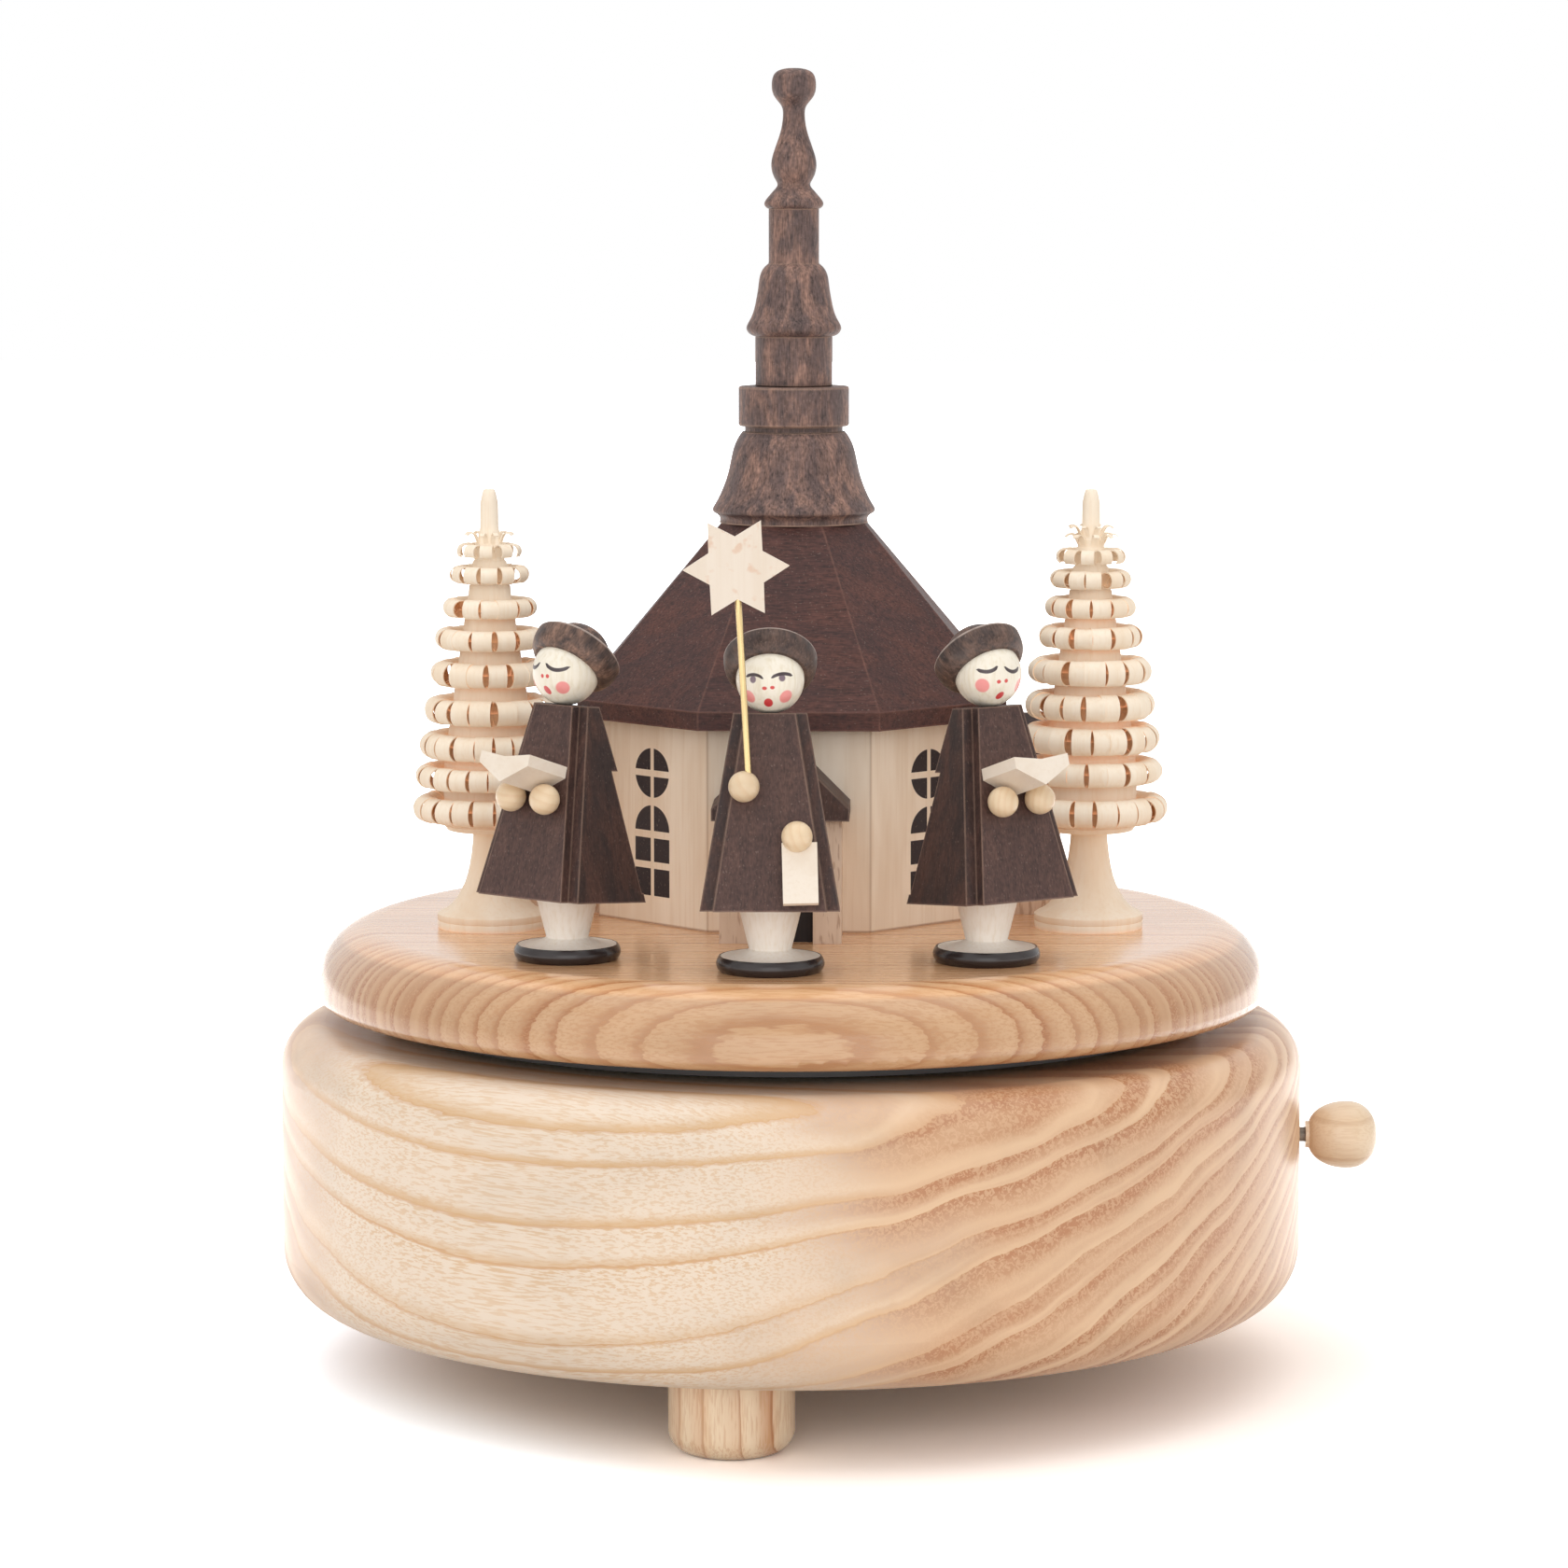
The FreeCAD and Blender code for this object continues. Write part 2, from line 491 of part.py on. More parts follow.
def make_governor():
    worm_wheel_x = FAN_X - 0.8
    plate_a = 27.2
    plate_b = 35.2
    strip = box(plate_a, plate_b + 1.5, 6.4, 17.4, BEDPLATE_TOP, BEDPLATE_TOP + 1.4)
    frame = strip.common(cylinder(CAVITY_RADIUS - 0.6, BEDPLATE_TOP, 40.0))
    frame = frame.fuse(box(plate_a, plate_a + 1.5, 7.0, 10.0, BEDPLATE_TOP, GOVERNOR_Z + 1.6))
    frame = frame.fuse(box(plate_b, plate_b + 1.5, 6.5, 10.5, BEDPLATE_TOP, 39.8))
    frame = frame.fuse(box(FAN_X - 1.6, plate_b + 1.5, 8.5, FAN_Y + 1.6, 38.6, 39.8))
    frame = frame.cut(rod_along_x(GOVERNOR_PIVOT_RADIUS + FIT, 26.0, 38.0, GOVERNOR_Y, GOVERNOR_Z))
    frame = frame.cut(cylinder(FAN_PIVOT_RADIUS + FIT, BEDPLATE_TOP, 40.0, FAN_X, FAN_Y))
    save("governor_frame", in_movement(frame.removeSplitter()))

    phase = MESH_TURN + 180.0 + 180.0 / GOVERNOR_TEETH
    pinion = gear(GOVERNOR_TEETH, SMALL_MODULE * GOVERNOR_TEETH / 2, WHEEL_WIDTH, phase, 0.42, 0.6)
    pinion = along_x(pinion, WHEEL_X, GOVERNOR_Y, GOVERNOR_Z)
    wheel = gear(WORM_WHEEL_TEETH, SMALL_MODULE * WORM_WHEEL_TEETH / 2, 1.6, 90.0, 0.35, 0.6, 0.24)
    wheel = along_x(wheel, worm_wheel_x, GOVERNOR_Y, GOVERNOR_Z)
    shaft = rod_along_x(GOVERNOR_PIVOT_RADIUS, plate_a + 0.1, plate_b + 1.4, GOVERNOR_Y, GOVERNOR_Z)
    sleeve = rod_along_x(1.2, WHEEL_X, worm_wheel_x, GOVERNOR_Y, GOVERNOR_Z)
    wheel_set = pinion.fuse([wheel, shaft, sleeve]).removeSplitter()
    save("governor_wheel", in_movement(wheel_set))

    start_z = GOVERNOR_Z + WORM_LEAD / 2 - 2 * WORM_LEAD
    turns = 3
    helix = Part.makeHelix(WORM_LEAD, turns * WORM_LEAD, WORM_RADIUS)
    tooth = [(0.95, -0.3), (1.8, -0.09), (1.8, 0.09), (0.95, 0.3)]
    outline = Part.makePolygon([V(r, 0, h) for r, h in tooth + tooth[:1]])
    thread = Part.Wire(helix.Edges).makePipeShell([outline], True, True)
    thread.rotate(V(0, 0, 0), Z_AXIS, -90)
    thread.translate(V(FAN_X, FAN_Y, start_z))
    core = cylinder(1.05, start_z - 0.6, 31.4, FAN_X, FAN_Y)
    body = core.fuse(thread)
    body = body.fuse(cylinder(FAN_PIVOT_RADIUS, BEDPLATE_TOP + 0.2, 39.6, FAN_X, FAN_Y))
    body = body.fuse(cylinder(3.0, 31.4, 32.8, FAN_X, FAN_Y))
    body = body.fuse(cylinder(1.1, 32.8, 38.2, FAN_X, FAN_Y))
    body = body.fuse(box(FAN_X - 3.4, FAN_X + 3.4, FAN_Y - 0.25, FAN_Y + 0.25, 34.5, 38.2))
    save("worm_fan", in_movement(body.removeSplitter()))


def make_turntable():
    table = bun(TABLE_RADIUS, TABLE_BOTTOM, TABLE_TOP, TABLE_LOWER_ROUND, TABLE_UPPER_ROUND)
    table = table.cut(cylinder(SHAFT_RADIUS + GLUE_HOLE, TABLE_BOTTOM, SHAFT_TOP + 0.3))
    disc = cylinder(DRIVE_DISC_RADIUS, DRIVE_DISC_BOTTOM, TABLE_BOTTOM)
    disc = disc.cut(cylinder(SHAFT_RADIUS + GLUE_HOLE, DRIVE_DISC_BOTTOM, TABLE_BOTTOM))
    screws = []
    for x, y in HUB_SCREWS:
        hole = cylinder(MACHINE_SCREW_RADIUS + GLUE_HOLE, DRIVE_DISC_BOTTOM, TABLE_BOTTOM + 4.5, x, y)
        table = table.cut(hole)
        disc = disc.cut(hole)
        screws.append(screw(x, y, HUB_BOTTOM, TABLE_BOTTOM + 4.3, MACHINE_SCREW_RADIUS, 1.8, 0.9))
    save("turntable", table)
    save("drive_disc", disc)
    save("hub_screws", group(screws))


def octagon(circumradius, x=0.0, y=0.0):
    return [(x + px, y + py) for px, py in ring_points(circumradius, 8, 22.5)]


def wedge(k, z_low, z_high):
    """Eighth of a circle about the church's axis, used to mitre the boards."""
    points = [(0, CHURCH_Y)]
    for px, py in (ring_points(60.0, 8, 22.5)[k], ring_points(60.0, 8, 22.5)[(k + 1) % 8]):
        points.append((px, CHURCH_Y + py))
    return prism(points, z_low, z_high)


def make_church():
    outer = prism(octagon(WALL_CIRCUMRADIUS, 0, CHURCH_Y), TABLE_TOP, WALL_TOP)
    inner_radius = WALL_CIRCUMRADIUS - WALL_THICKNESS / INRADIUS_SHARE
    shell = outer.cut(prism(octagon(inner_radius, 0, CHURCH_Y), TABLE_TOP, WALL_TOP))
    save("church_walls", group([shell.common(wedge(k, TABLE_TOP, WALL_TOP)) for k in range(8)]))

    fascia_inner = WALL_CIRCUMRADIUS - 0.3
    rise = (EAVE_CIRCUMRADIUS - ROOF_TOP_CIRCUMRADIUS) / (ROOF_TOP - EAVE_TOP)
    roof = prism(octagon(EAVE_CIRCUMRADIUS, 0, CHURCH_Y), WALL_TOP, EAVE_TOP)
    roof = roof.fuse(frustum(octagon(EAVE_CIRCUMRADIUS, 0, CHURCH_Y), EAVE_TOP,
                             octagon(ROOF_TOP_CIRCUMRADIUS, 0, CHURCH_Y), ROOF_TOP))
    roof = roof.cut(prism(octagon(fascia_inner, 0, CHURCH_Y), WALL_TOP, EAVE_TOP))
    low = fascia_inner
    high = fascia_inner - rise * (ROOF_TOP - EAVE_TOP)
    roof = roof.cut(frustum(octagon(low, 0, CHURCH_Y), EAVE_TOP, octagon(high, 0, CHURCH_Y), ROOF_TOP))
    panels = [roof.common(wedge(k, WALL_TOP, ROOF_TOP)).removeSplitter() for k in range(8)]
    save("roof_panels", group(panels))
    soffit = prism(octagon(fascia_inner - 0.05, 0, CHURCH_Y), WALL_TOP, WALL_TOP + 2.2)
    save("soffit_board", soffit)


def porch(depth, width, roof_half, ridge):
    """Porch that stands out along -Y from y 0: walls, gable roof and door, centred on x 0."""
    front = -depth
    body = box(-width / 2, width / 2, front, 0, TABLE_TOP, PORCH_WALL_TOP)
    door_half = PORCH_DOOR_WIDTH / 2
    opening = box(-door_half, door_half, front, front + 3.0, TABLE_TOP, TABLE_TOP + PORCH_DOOR_HEIGHT)
    body = body.cut(opening)
    door = box(-door_half + 0.05, door_half - 0.05, front + 1.6, front + 3.0,
               TABLE_TOP, TABLE_TOP + PORCH_DOOR_HEIGHT - 0.05)
    tip = PORCH_WALL_TOP + PORCH_FASCIA
    outline = [(-roof_half, PORCH_WALL_TOP), (roof_half, PORCH_WALL_TOP), (roof_half, tip),
               (0, ridge), (-roof_half, tip)]
    wire = Part.makePolygon([V(x, front - 1.0, z) for x, z in outline + outline[:1]])
    roof = Part.Face(wire).extrude(V(0, depth + 1.0, 0))
    return body, roof, door


def make_porches():
    wall_plane = WALL_CIRCUMRADIUS * INRADIUS_SHARE
    doors = []
    body, roof, door = porch(PORCH_DEPTH, PORCH_WIDTH, PORCH_ROOF_HALF, PORCH_RIDGE)
    for shape in (body, roof, door):
        shape.translate(V(PORCH_X, CHURCH_Y - wall_plane, 0))
    save("front_porch", body)
    save("front_porch_roof", roof)
    doors.append(door)
    side_bodies = []
    side_roofs = []
    for turn in (90, -90):
        body, roof, door = porch(PORCH_DEPTH, PORCH_WIDTH, PORCH_ROOF_HALF, PORCH_RIDGE)
        for shape, store in ((body, side_bodies), (roof, side_roofs), (door, doors)):
            shape.translate(V(0, -wall_plane, 0))
            shape.rotate(V(0, 0, 0), Z_AXIS, turn)
            shape.translate(V(0, CHURCH_Y, 0))
            store.append(shape)
    save("side_porches", group(side_bodies))
    save("side_porch_roofs", group(side_roofs))
    save("porch_doors", group(doors))


def make_spire():
    bell = turned_profile([
        ("line", [(0, 108.0), (6.0, 108.0), (6.0, 115.5), (10.35, 115.5)]),
        ("curve", [(10.35, 115.5), (10.25, 116.0), (10.8, 116.75)]),
        ("curve", [(10.8, 116.75), (11.3, 117.25), (10.95, 118.05), (10.16, 119.56), (9.06, 122.7),
                   (8.37, 125.8), (7.15, 128.1)]),
        ("line", [(6.8, 128.1), (6.8, 128.9), (3.22, 128.9), (3.22, 122.0), (0, 122.0)]),
    ], 0, CHURCH_Y)
    save("spire_bell", bell)
    collar = turned_profile([
        ("line", [(3.22, 128.9), (7.5, 128.9), (7.7, 129.1), (7.7, 134.2), (7.5, 134.4), (3.22, 134.4)]),
    ], 0, CHURCH_Y)
    save("spire_collar", collar)
    tower = turned_profile([
        ("line", [(0, 122.1), (3.2, 122.1), (3.2, 134.4), (5.2, 134.4), (5.35, 134.6), (5.35, 141.3)]),
        ("curve", [(5.6, 141.35), (6.2, 141.7), (6.54, 142.2), (6.04, 143.64), (5.3, 145.9), (4.9, 148.28),
                   (4.7, 149.6), (3.54, 151.3)]),
        ("line", [(3.48, 151.5), (3.48, 158.9), (1.5, 158.9), (1.5, 162.0), (0, 162.0)]),
    ], 0, CHURCH_Y)
    save("spire_tower", tower)
    finial = turned_profile([
        ("line", [(1.52, 158.9), (3.6, 158.9)]),
        ("curve", [(3.6, 158.9), (4.09, 159.55), (3.46, 160.6), (2.77, 161.4), (2.27, 162.15), (2.58, 162.92),
                   (3.1, 164.46), (3.11, 165.23), (2.75, 166.76), (1.75, 169.83), (1.52, 171.4),
                   (1.69, 172.9), (2.25, 173.67), (2.79, 174.43), (3.06, 175.84), (2.57, 177.5),
                   (1.4, 178.05), (0, 178.14)]),
        ("line", [(0, 162.02), (1.52, 162.02)]),
    ], 0, CHURCH_Y)
    save("spire_finial", finial)


def tier_radius(z):
    """Outer radius of the shaved curls at a height, fuller towards the foot of the tree."""
    share = (TREE_TOP - 4.0 - z) / (TREE_TOP - 4.0 - TIER_HEIGHTS[0])
    return 2.4 + 8.4 * share ** 0.75


def make_trees():
    for name, x, y in TREES:
        trunk = turned_profile([
            ("line", [(0, TABLE_TOP), (7.3, TABLE_TOP), (7.4, TABLE_TOP + 1.9)]),
            ("curve", [(7.0, TABLE_TOP + 2.2), (5.45, 64.8), (4.2, 66.6), (3.3, 68.8), (2.75, 71.6),
                       (2.45, TREE_SKIRT)]),
            ("line", [(2.45, TREE_SKIRT), (5.8, TREE_SKIRT), (6.5, TREE_SKIRT + 0.7),
                      (6.3, TIER_HEIGHTS[0]), (1.2, 116.5), (1.2, TREE_TOP - 0.5), (0.9, TREE_TOP),
                      (0, TREE_TOP)]),
        ])
        tiers = []
        for k, z in enumerate(TIER_HEIGHTS):
            outer = tier_radius(z)
            roll = 1.6 - 0.07 * k
            tiers.append(Part.makeTorus(outer - roll, roll, V(0, 0, z)))
            tiers.append(Part.makeCone(outer - 2.0 * roll, outer - roll, 1.8 * roll, V(0, 0, z - 1.8 * roll)))
        tree = trunk.fuse(tiers).removeSplitter()
        tree.translate(V(x, y, 0))
        save(name, tree)


def coat_outline(half_width, half_panel, front, back):
    """Coat section, front towards -Y, with a step down each front corner beside the front panel."""
    right = [(half_panel, -front), (half_panel, -front + PANEL_STEP), (half_width, -front + PANEL_STEP),
             (half_width, back)]
    return right + [(-x, y) for x, y in reversed(right)]


def coat_size(z, sizes):
    """Size of the coat at a height, from its size at the bottom and at the top."""
    low, high = sizes
    return low + (high - low) * (z - COAT_BOTTOM) / (COAT_TOP - COAT_BOTTOM)


def front_of_coat(z):
    return coat_size(z, COAT_FRONT)


def coat_piece(z_low, z_high, back_low, back_high):
    outlines = []
    for z, back in ((z_low, back_low), (z_high, back_high)):
        outlines.append(coat_outline(coat_size(z, COAT_HALF_WIDTH), coat_size(z, COAT_PANEL_HALF),
                                     front_of_coat(z), back))
    return frustum(outlines[0], z_low, outlines[1], z_high, COAT_FALL)


def make_coat():
    hem = coat_piece(COAT_BOTTOM, HEM_TOP, 5.4, 5.2)
    skirt = coat_piece(HEM_TOP, CAPE_BOTTOM, 4.85, 2.0)
    cape = coat_piece(CAPE_BOTTOM, COAT_TOP, 3.15, 1.2)
    return hem.fuse([skirt, cape]).removeSplitter()


def make_hat():
    """Turned hat about +Z: bowl-shaped brim with a crisp upper edge and a low crown.

    The head's centre is at the origin."""
    hat = turned_profile([
        ("curve", [(0, 6.7), (1.8, 6.5), (3.1, 5.75), (3.9, 4.7), (4.1, 3.7)]),
        ("line", [(4.1, 3.7), (5.8, 3.7), (6.02, 3.5)]),
        ("curve", [(6.02, 3.5), (5.98, 2.6), (5.75, 1.6), (5.3, 0.9), (4.8, 0.5)]),
        ("line", [(4.8, 0.5), (0, 0.5)]),
    ])
    return hat.cut(Part.makeSphere(HEAD_RADIUS))


def open_book():
    """Open song book in one block, held out along -Y: pages almost level, covers in a shallow V."""
    half, length = 4.25, 7.5
    outline = [(-half, 0), (0, -0.5), (half, 0), (half, -1.5), (0, -3.85), (-half, -1.5)]
    wire = Part.makePolygon([V(x, 0, z) for x, z in outline + outline[:1]])
    book = Part.Face(wire).extrude(V(0, -length, 0))
    book.rotate(V(0, 0, 0), V(1, 0, 0), -BOOK_TILT)
    return book


def make_singers():
    hands = []
    open_books = []
    for name, x, y, heading in SINGERS:
        def place(shape):
            shape.rotate(V(0, 0, 0), Z_AXIS, -heading)
            shape.translate(V(x, y, 0))
            return shape

        stand = turned_profile([
            ("line", [(0, TABLE_TOP), (6.5, TABLE_TOP)]),
            ("curve", [(6.5, TABLE_TOP), (7.0, TABLE_TOP + 0.9), (6.6, TABLE_TOP + 2.0)]),
            ("curve", [(6.6, TABLE_TOP + 2.0), (4.4, TABLE_TOP + 2.15), (2.75, TABLE_TOP + 2.9)]),
            ("line", [(2.75, TABLE_TOP + 2.9), (4.25, COAT_BOTTOM), (PEG_RADIUS, COAT_BOTTOM),
                      (PEG_RADIUS, COAT_BOTTOM + PEG_LENGTH), (0, COAT_BOTTOM + PEG_LENGTH)]),
        ])
        peg_top = COAT_BOTTOM + PEG_LENGTH
        coat = make_coat().cut(cylinder(PEG_RADIUS + GLUE_HOLE, COAT_BOTTOM - 1, peg_top + 0.1))
        head = Part.makeSphere(HEAD_RADIUS, V(0, 0, HEAD_Z))
        head = head.cut(coat)
        stand = stand.cut(coat)
        hat = make_hat()
        hat.rotate(V(0, 0, 0), V(1, 0, 0), -HAT_TILT[name])
        hat.translate(V(0, 0, HEAD_Z))
        balls = []
        for across, z in (STAR_HANDS if name == "centre" else BOOK_HANDS):
            ball = Part.makeSphere(HAND_RADIUS, V(across, -front_of_coat(z) - HAND_REACH, z))
            balls.append(ball.cut(coat))
        if name == "centre":
            make_star(balls, coat, place)
        else:
            book = open_book()
            book.translate(V(0, -front_of_coat(BOOK_INNER_Z) + 0.1, BOOK_INNER_Z))
            book = book.cut(group(balls)).cut(coat)
            open_books.append(place(book))
            hands += [place(ball) for ball in balls]
        save("stand_" + name, place(stand))
        save("coat_" + name, place(coat))
        save("head_" + name, place(head))
        save("hat_" + name, place(hat))
        if name == "centre":
            hands += [place(ball) for ball in balls]
    save("hands", group(hands))
    save("open_songbooks", group(open_books))


def make_star(balls, coat, place):
    """Star on its pole in one hand of the middle singer, and the closed book under the other."""
    star_centre = V(-4.25, -7.3, 114.1)
    points = []
    for k in range(12):
        radius = 6.75 if k % 2 == 0 else 3.95
        turn = math.radians(2.5 + 30.0 * k)
        points.append(V(radius * math.cos(turn), 0, radius * math.sin(turn)))
    star = Part.Face(Part.makePolygon(points + points[:1])).extrude(V(0, 1.2, 0))
    star.translate(star_centre)
    foot = V(-2.6, -front_of_coat(STAR_HANDS[0][1]) - HAND_REACH, 85.4)
    top = V(-4.05, star_centre.y + 0.6, 111.0)
    pole = Part.makeCylinder(0.42, (top - foot).Length, foot, top - foot)
    hole = Part.makeCylinder(0.42 + GLUE_HOLE, (top - foot).Length + 0.1, foot, top - foot)
    balls[0] = balls[0].cut(hole)
    star = star.cut(hole)
    book = box(-2.25, 2.25, -0.65, 0.65, -7.9, 0)
    book.rotate(V(0, 0, 0), V(0, 1, 0), -1.5)
    book.rotate(V(0, 0, 0), V(1, 0, 0), -20.0)
    book.translate(V(3.75, -front_of_coat(STAR_HANDS[1][1]) - 1.3, 79.1))
    book = book.cut(balls[1]).cut(coat)
    save("star", place(star))
    save("star_pole", place(pole))
    save("closed_songbook", place(book))


os.makedirs("parts", exist_ok=True)
make_base()
make_stop()
make_winding()
make_barrel()
make_movement()
make_governor()
make_turntable()
make_church()
make_porches()
make_spire()
make_trees()
make_singers()
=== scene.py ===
import bpy
import bmesh
import math
from functools import partialmethod
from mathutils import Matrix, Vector


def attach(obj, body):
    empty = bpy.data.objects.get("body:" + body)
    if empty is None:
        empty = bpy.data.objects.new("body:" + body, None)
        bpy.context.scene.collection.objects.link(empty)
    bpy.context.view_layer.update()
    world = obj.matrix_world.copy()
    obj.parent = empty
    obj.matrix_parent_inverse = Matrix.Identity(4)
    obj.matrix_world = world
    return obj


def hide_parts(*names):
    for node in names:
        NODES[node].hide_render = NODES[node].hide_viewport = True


# Wooden music box with a turning village scene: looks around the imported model.
# Metres, +Z up, the church front faces -Y. Numbers in mm are said to be so.

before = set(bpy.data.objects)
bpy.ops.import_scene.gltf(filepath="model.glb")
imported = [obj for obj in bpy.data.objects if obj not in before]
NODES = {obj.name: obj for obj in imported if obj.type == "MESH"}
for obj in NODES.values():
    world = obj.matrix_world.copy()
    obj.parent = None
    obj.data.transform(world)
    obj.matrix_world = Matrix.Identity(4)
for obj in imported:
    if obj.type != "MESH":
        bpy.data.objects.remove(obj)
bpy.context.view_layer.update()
MM = 0.001
WHITE = (1.0, 1.0, 1.0, 1.0)
BLACK = (0.0, 0.0, 0.0, 1.0)

# Places on the model, in mm. A singer has x, y and its heading in degrees.
TREE_PLACES = {"tree_left": (-40.7, -6.6), "tree_right": (40.7, -4.9)}
TABLE_TOP = 61.6
TREE_TOP = 121.3
TREE_SKIRT = 74.9
CHURCH_Y = 15.0
EAVES = 89.3
SINGERS = {
    "left": (-28.4, -36.0, 38.5),
    "centre": (-1.55, -46.0, -1.2),
    "right": (26.4, -37.0, -35.5),
}
HEAD_Z = 99.3


def tint(red, green, blue):
    """Colour from its 0 to 255 values, as a shader wants it."""
    parts = []
    for value in (red, green, blue):
        share = value / 255.0
        parts.append(share / 12.92 if share <= 0.04045 else ((share + 0.055) / 1.055) ** 2.4)
    return (*parts, 1.0)


# Camera and stage

SENSOR_WIDTH = 36.0
FOCAL_PIXELS = 5595.1
PHOTO_PIXELS = 1680.0
CAMERA_PLACE = (0.017470, -0.711493, 0.162870)
CAMERA_TURN = (83.398, 0.0, 1.485)
AMBIENT = 0.78
FLOOR_REACH = 4.0
FLOOR_SEEN = (1.44, 1.40, 1.39, 1.0)
# painted light on the floor: a paler seen colour that lightens its shadow near the base on the left
FLOOR_PAINTED_LIGHT_LEFT = (1.85, 2.02, 2.22, 1.0)
FLOOR_LIT = (0.70, 0.67, 0.64, 1.0)
PAINTED_LIGHT_FROM_RADIUS = (0.040, 0.066)
PAINTED_LIGHT_FROM_X = (0.0, -0.045)
GLOW_FROM_RADIUS = (0.076, 0.145)


def in_scene(name, data):
    thing = bpy.data.objects.new(name, data)
    bpy.context.scene.collection.objects.link(thing)
    return thing


def make_camera():
    data = bpy.data.cameras.new("camera")
    data.sensor_width = SENSOR_WIDTH
    data.lens = SENSOR_WIDTH * FOCAL_PIXELS / PHOTO_PIXELS
    data.clip_start = 0.05
    data.clip_end = 20.0
    camera = in_scene("camera", data)
    camera.location = CAMERA_PLACE
    camera.rotation_euler = [math.radians(angle) for angle in CAMERA_TURN]
    bpy.context.scene.camera = camera


def make_lamp(name, place, aim, size, watts):
    data = bpy.data.lights.new(name, "AREA")
    data.shape = "RECTANGLE"
    data.size, data.size_y = size
    data.energy = watts
    lamp = in_scene(name, data)
    lamp.location = place
    lamp.rotation_euler = (Vector(aim) - Vector(place)).to_track_quat("-Z", "Y").to_euler()


CORNER_REACH = 0.0014


class Sheet:
    """Adds linked nodes to a node tree. An input is a socket or a plain value."""

    def __init__(self, tree):
        self.tree = tree

    def add(self, kind, inputs=None, **settings):
        node = self.tree.nodes.new(kind)
        for name, value in settings.items():
            setattr(node, name, value)
        for name, value in (inputs or {}).items():
            self.plug(node.inputs[name], value)
        return node

    def plug(self, socket, value):
        if isinstance(value, bpy.types.NodeSocket):
            self.tree.links.new(value, socket)
        else:
            socket.default_value = value

    def fill(self, sockets, **values):
        """Plug several values in by the sockets' names, with _ for a space."""
        for name, value in values.items():
            self.plug(sockets[name.replace("_", " ")], value)

    def form(self, kind, settings=None, **inputs):
        """First output of a new Geometry Nodes node."""
        node = self.add(kind, **(settings or {}))
        self.fill(node.inputs, **inputs)
        return node.outputs[0]

    def math(self, operation, a, b=0.0, c=0.0, clamp=False):
        node = self.add("ShaderNodeMath", {0: a, 1: b, 2: c}, operation=operation, use_clamp=clamp)
        return node.outputs[0]

    plus = partialmethod(math, "ADD")
    minus = partialmethod(math, "SUBTRACT")
    times = partialmethod(math, "MULTIPLY")
    over = partialmethod(math, "DIVIDE")
    times_add = partialmethod(math, "MULTIPLY_ADD")
    larger = partialmethod(math, "MAXIMUM")
    smaller = partialmethod(math, "MINIMUM")
    size = partialmethod(math, "ABSOLUTE")

    def length(self, x, y):
        return self.math("SQRT", self.plus(self.times(x, x), self.times(y, y)))

    def vector(self, operation, a, b=(0.0, 0.0, 0.0), scale=1.0):
        node = self.add("ShaderNodeVectorMath", {0: a, 1: b, 3: scale}, operation=operation)
        return node.outputs["Value" if operation in ("DOT_PRODUCT", "LENGTH") else "Vector"]

    def blend(self, share, a, b, mode="MIX"):
        node = self.add("ShaderNodeMix", {0: share, 6: a, 7: b}, data_type="RGBA", blend_type=mode)
        return node.outputs[2]

    def group(self, tree, **inputs):
        node = self.add("ShaderNodeGroup", node_tree=tree)
        self.fill(node.inputs, **inputs)
        return node.outputs

    def lay(self, under, over, mask, share):
        """One colour over another, by a mask times a share."""
        return self.blend(self.times(mask, share), under, over)

    def ease(self, value, low, high, to_low=0.0, to_high=1.0):
        node = self.add("ShaderNodeMapRange",
                        {"Value": value, "From Min": low, "From Max": high, "To Min": to_low,
                         "To Max": to_high}, interpolation_type="SMOOTHSTEP")
        return node.outputs["Result"]

    def noise(self, vector, scale, detail=3.0, roughness=0.55, distortion=0.0):
        node = self.add("ShaderNodeTexNoise", {"Vector": vector, "Scale": scale, "Detail": detail,
                                               "Roughness": roughness, "Distortion": distortion})
        return node.outputs["Fac"]

    def mapped(self, vector, scale=(1, 1, 1), turn=(0, 0, 0), place=(0, 0, 0)):
        node = self.add("ShaderNodeMapping",
                        {"Vector": vector, "Location": place, "Rotation": turn, "Scale": scale})
        return node.outputs[0]

    def grain(self, vector, scale, *noise):
        """Noise stretched by a scale along each axis."""
        return self.noise(self.mapped(vector, scale), 1.0, *noise)

    def split(self, vector):
        return self.add("ShaderNodeSeparateXYZ", {0: vector}).outputs

    def join(self, x, y, z):
        return self.add("ShaderNodeCombineXYZ", {0: x, 1: y, 2: z}).outputs[0]


def kind_of(value):
    """Kind of socket that a value stands for: None is a geometry."""
    if isinstance(value, tuple):
        return "Vector" if len(value) == 3 else "Color"
    return {float: "Float", int: "Int"}.get(type(value), "Geometry")


def node_group(family, name, inputs, outputs):
    """New Shader or Geometry node group. Its sockets are given by name, with _ for a space, and default."""
    tree = bpy.data.node_groups.new(name, family + "NodeTree")
    for side, sockets in (("INPUT", inputs), ("OUTPUT", outputs)):
        for label, value in sockets.items():
            socket = tree.interface.new_socket(label.replace("_", " "), in_out=side,
                                               socket_type="NodeSocket" + kind_of(value))
            if side == "INPUT" and value is not None:
                socket.default_value = value
    start = tree.nodes.new("NodeGroupInput")
    end = tree.nodes.new("NodeGroupOutput")
    return Sheet(tree), start.outputs, end.inputs


def new_material(name):
    material = bpy.data.materials.new(name)
    material.use_nodes = True
    sheet = Sheet(material.node_tree)
    shader = material.node_tree.nodes["Principled BSDF"]
    where = sheet.add("ShaderNodeTexCoord").outputs["Object"]
    return material, sheet, shader, where


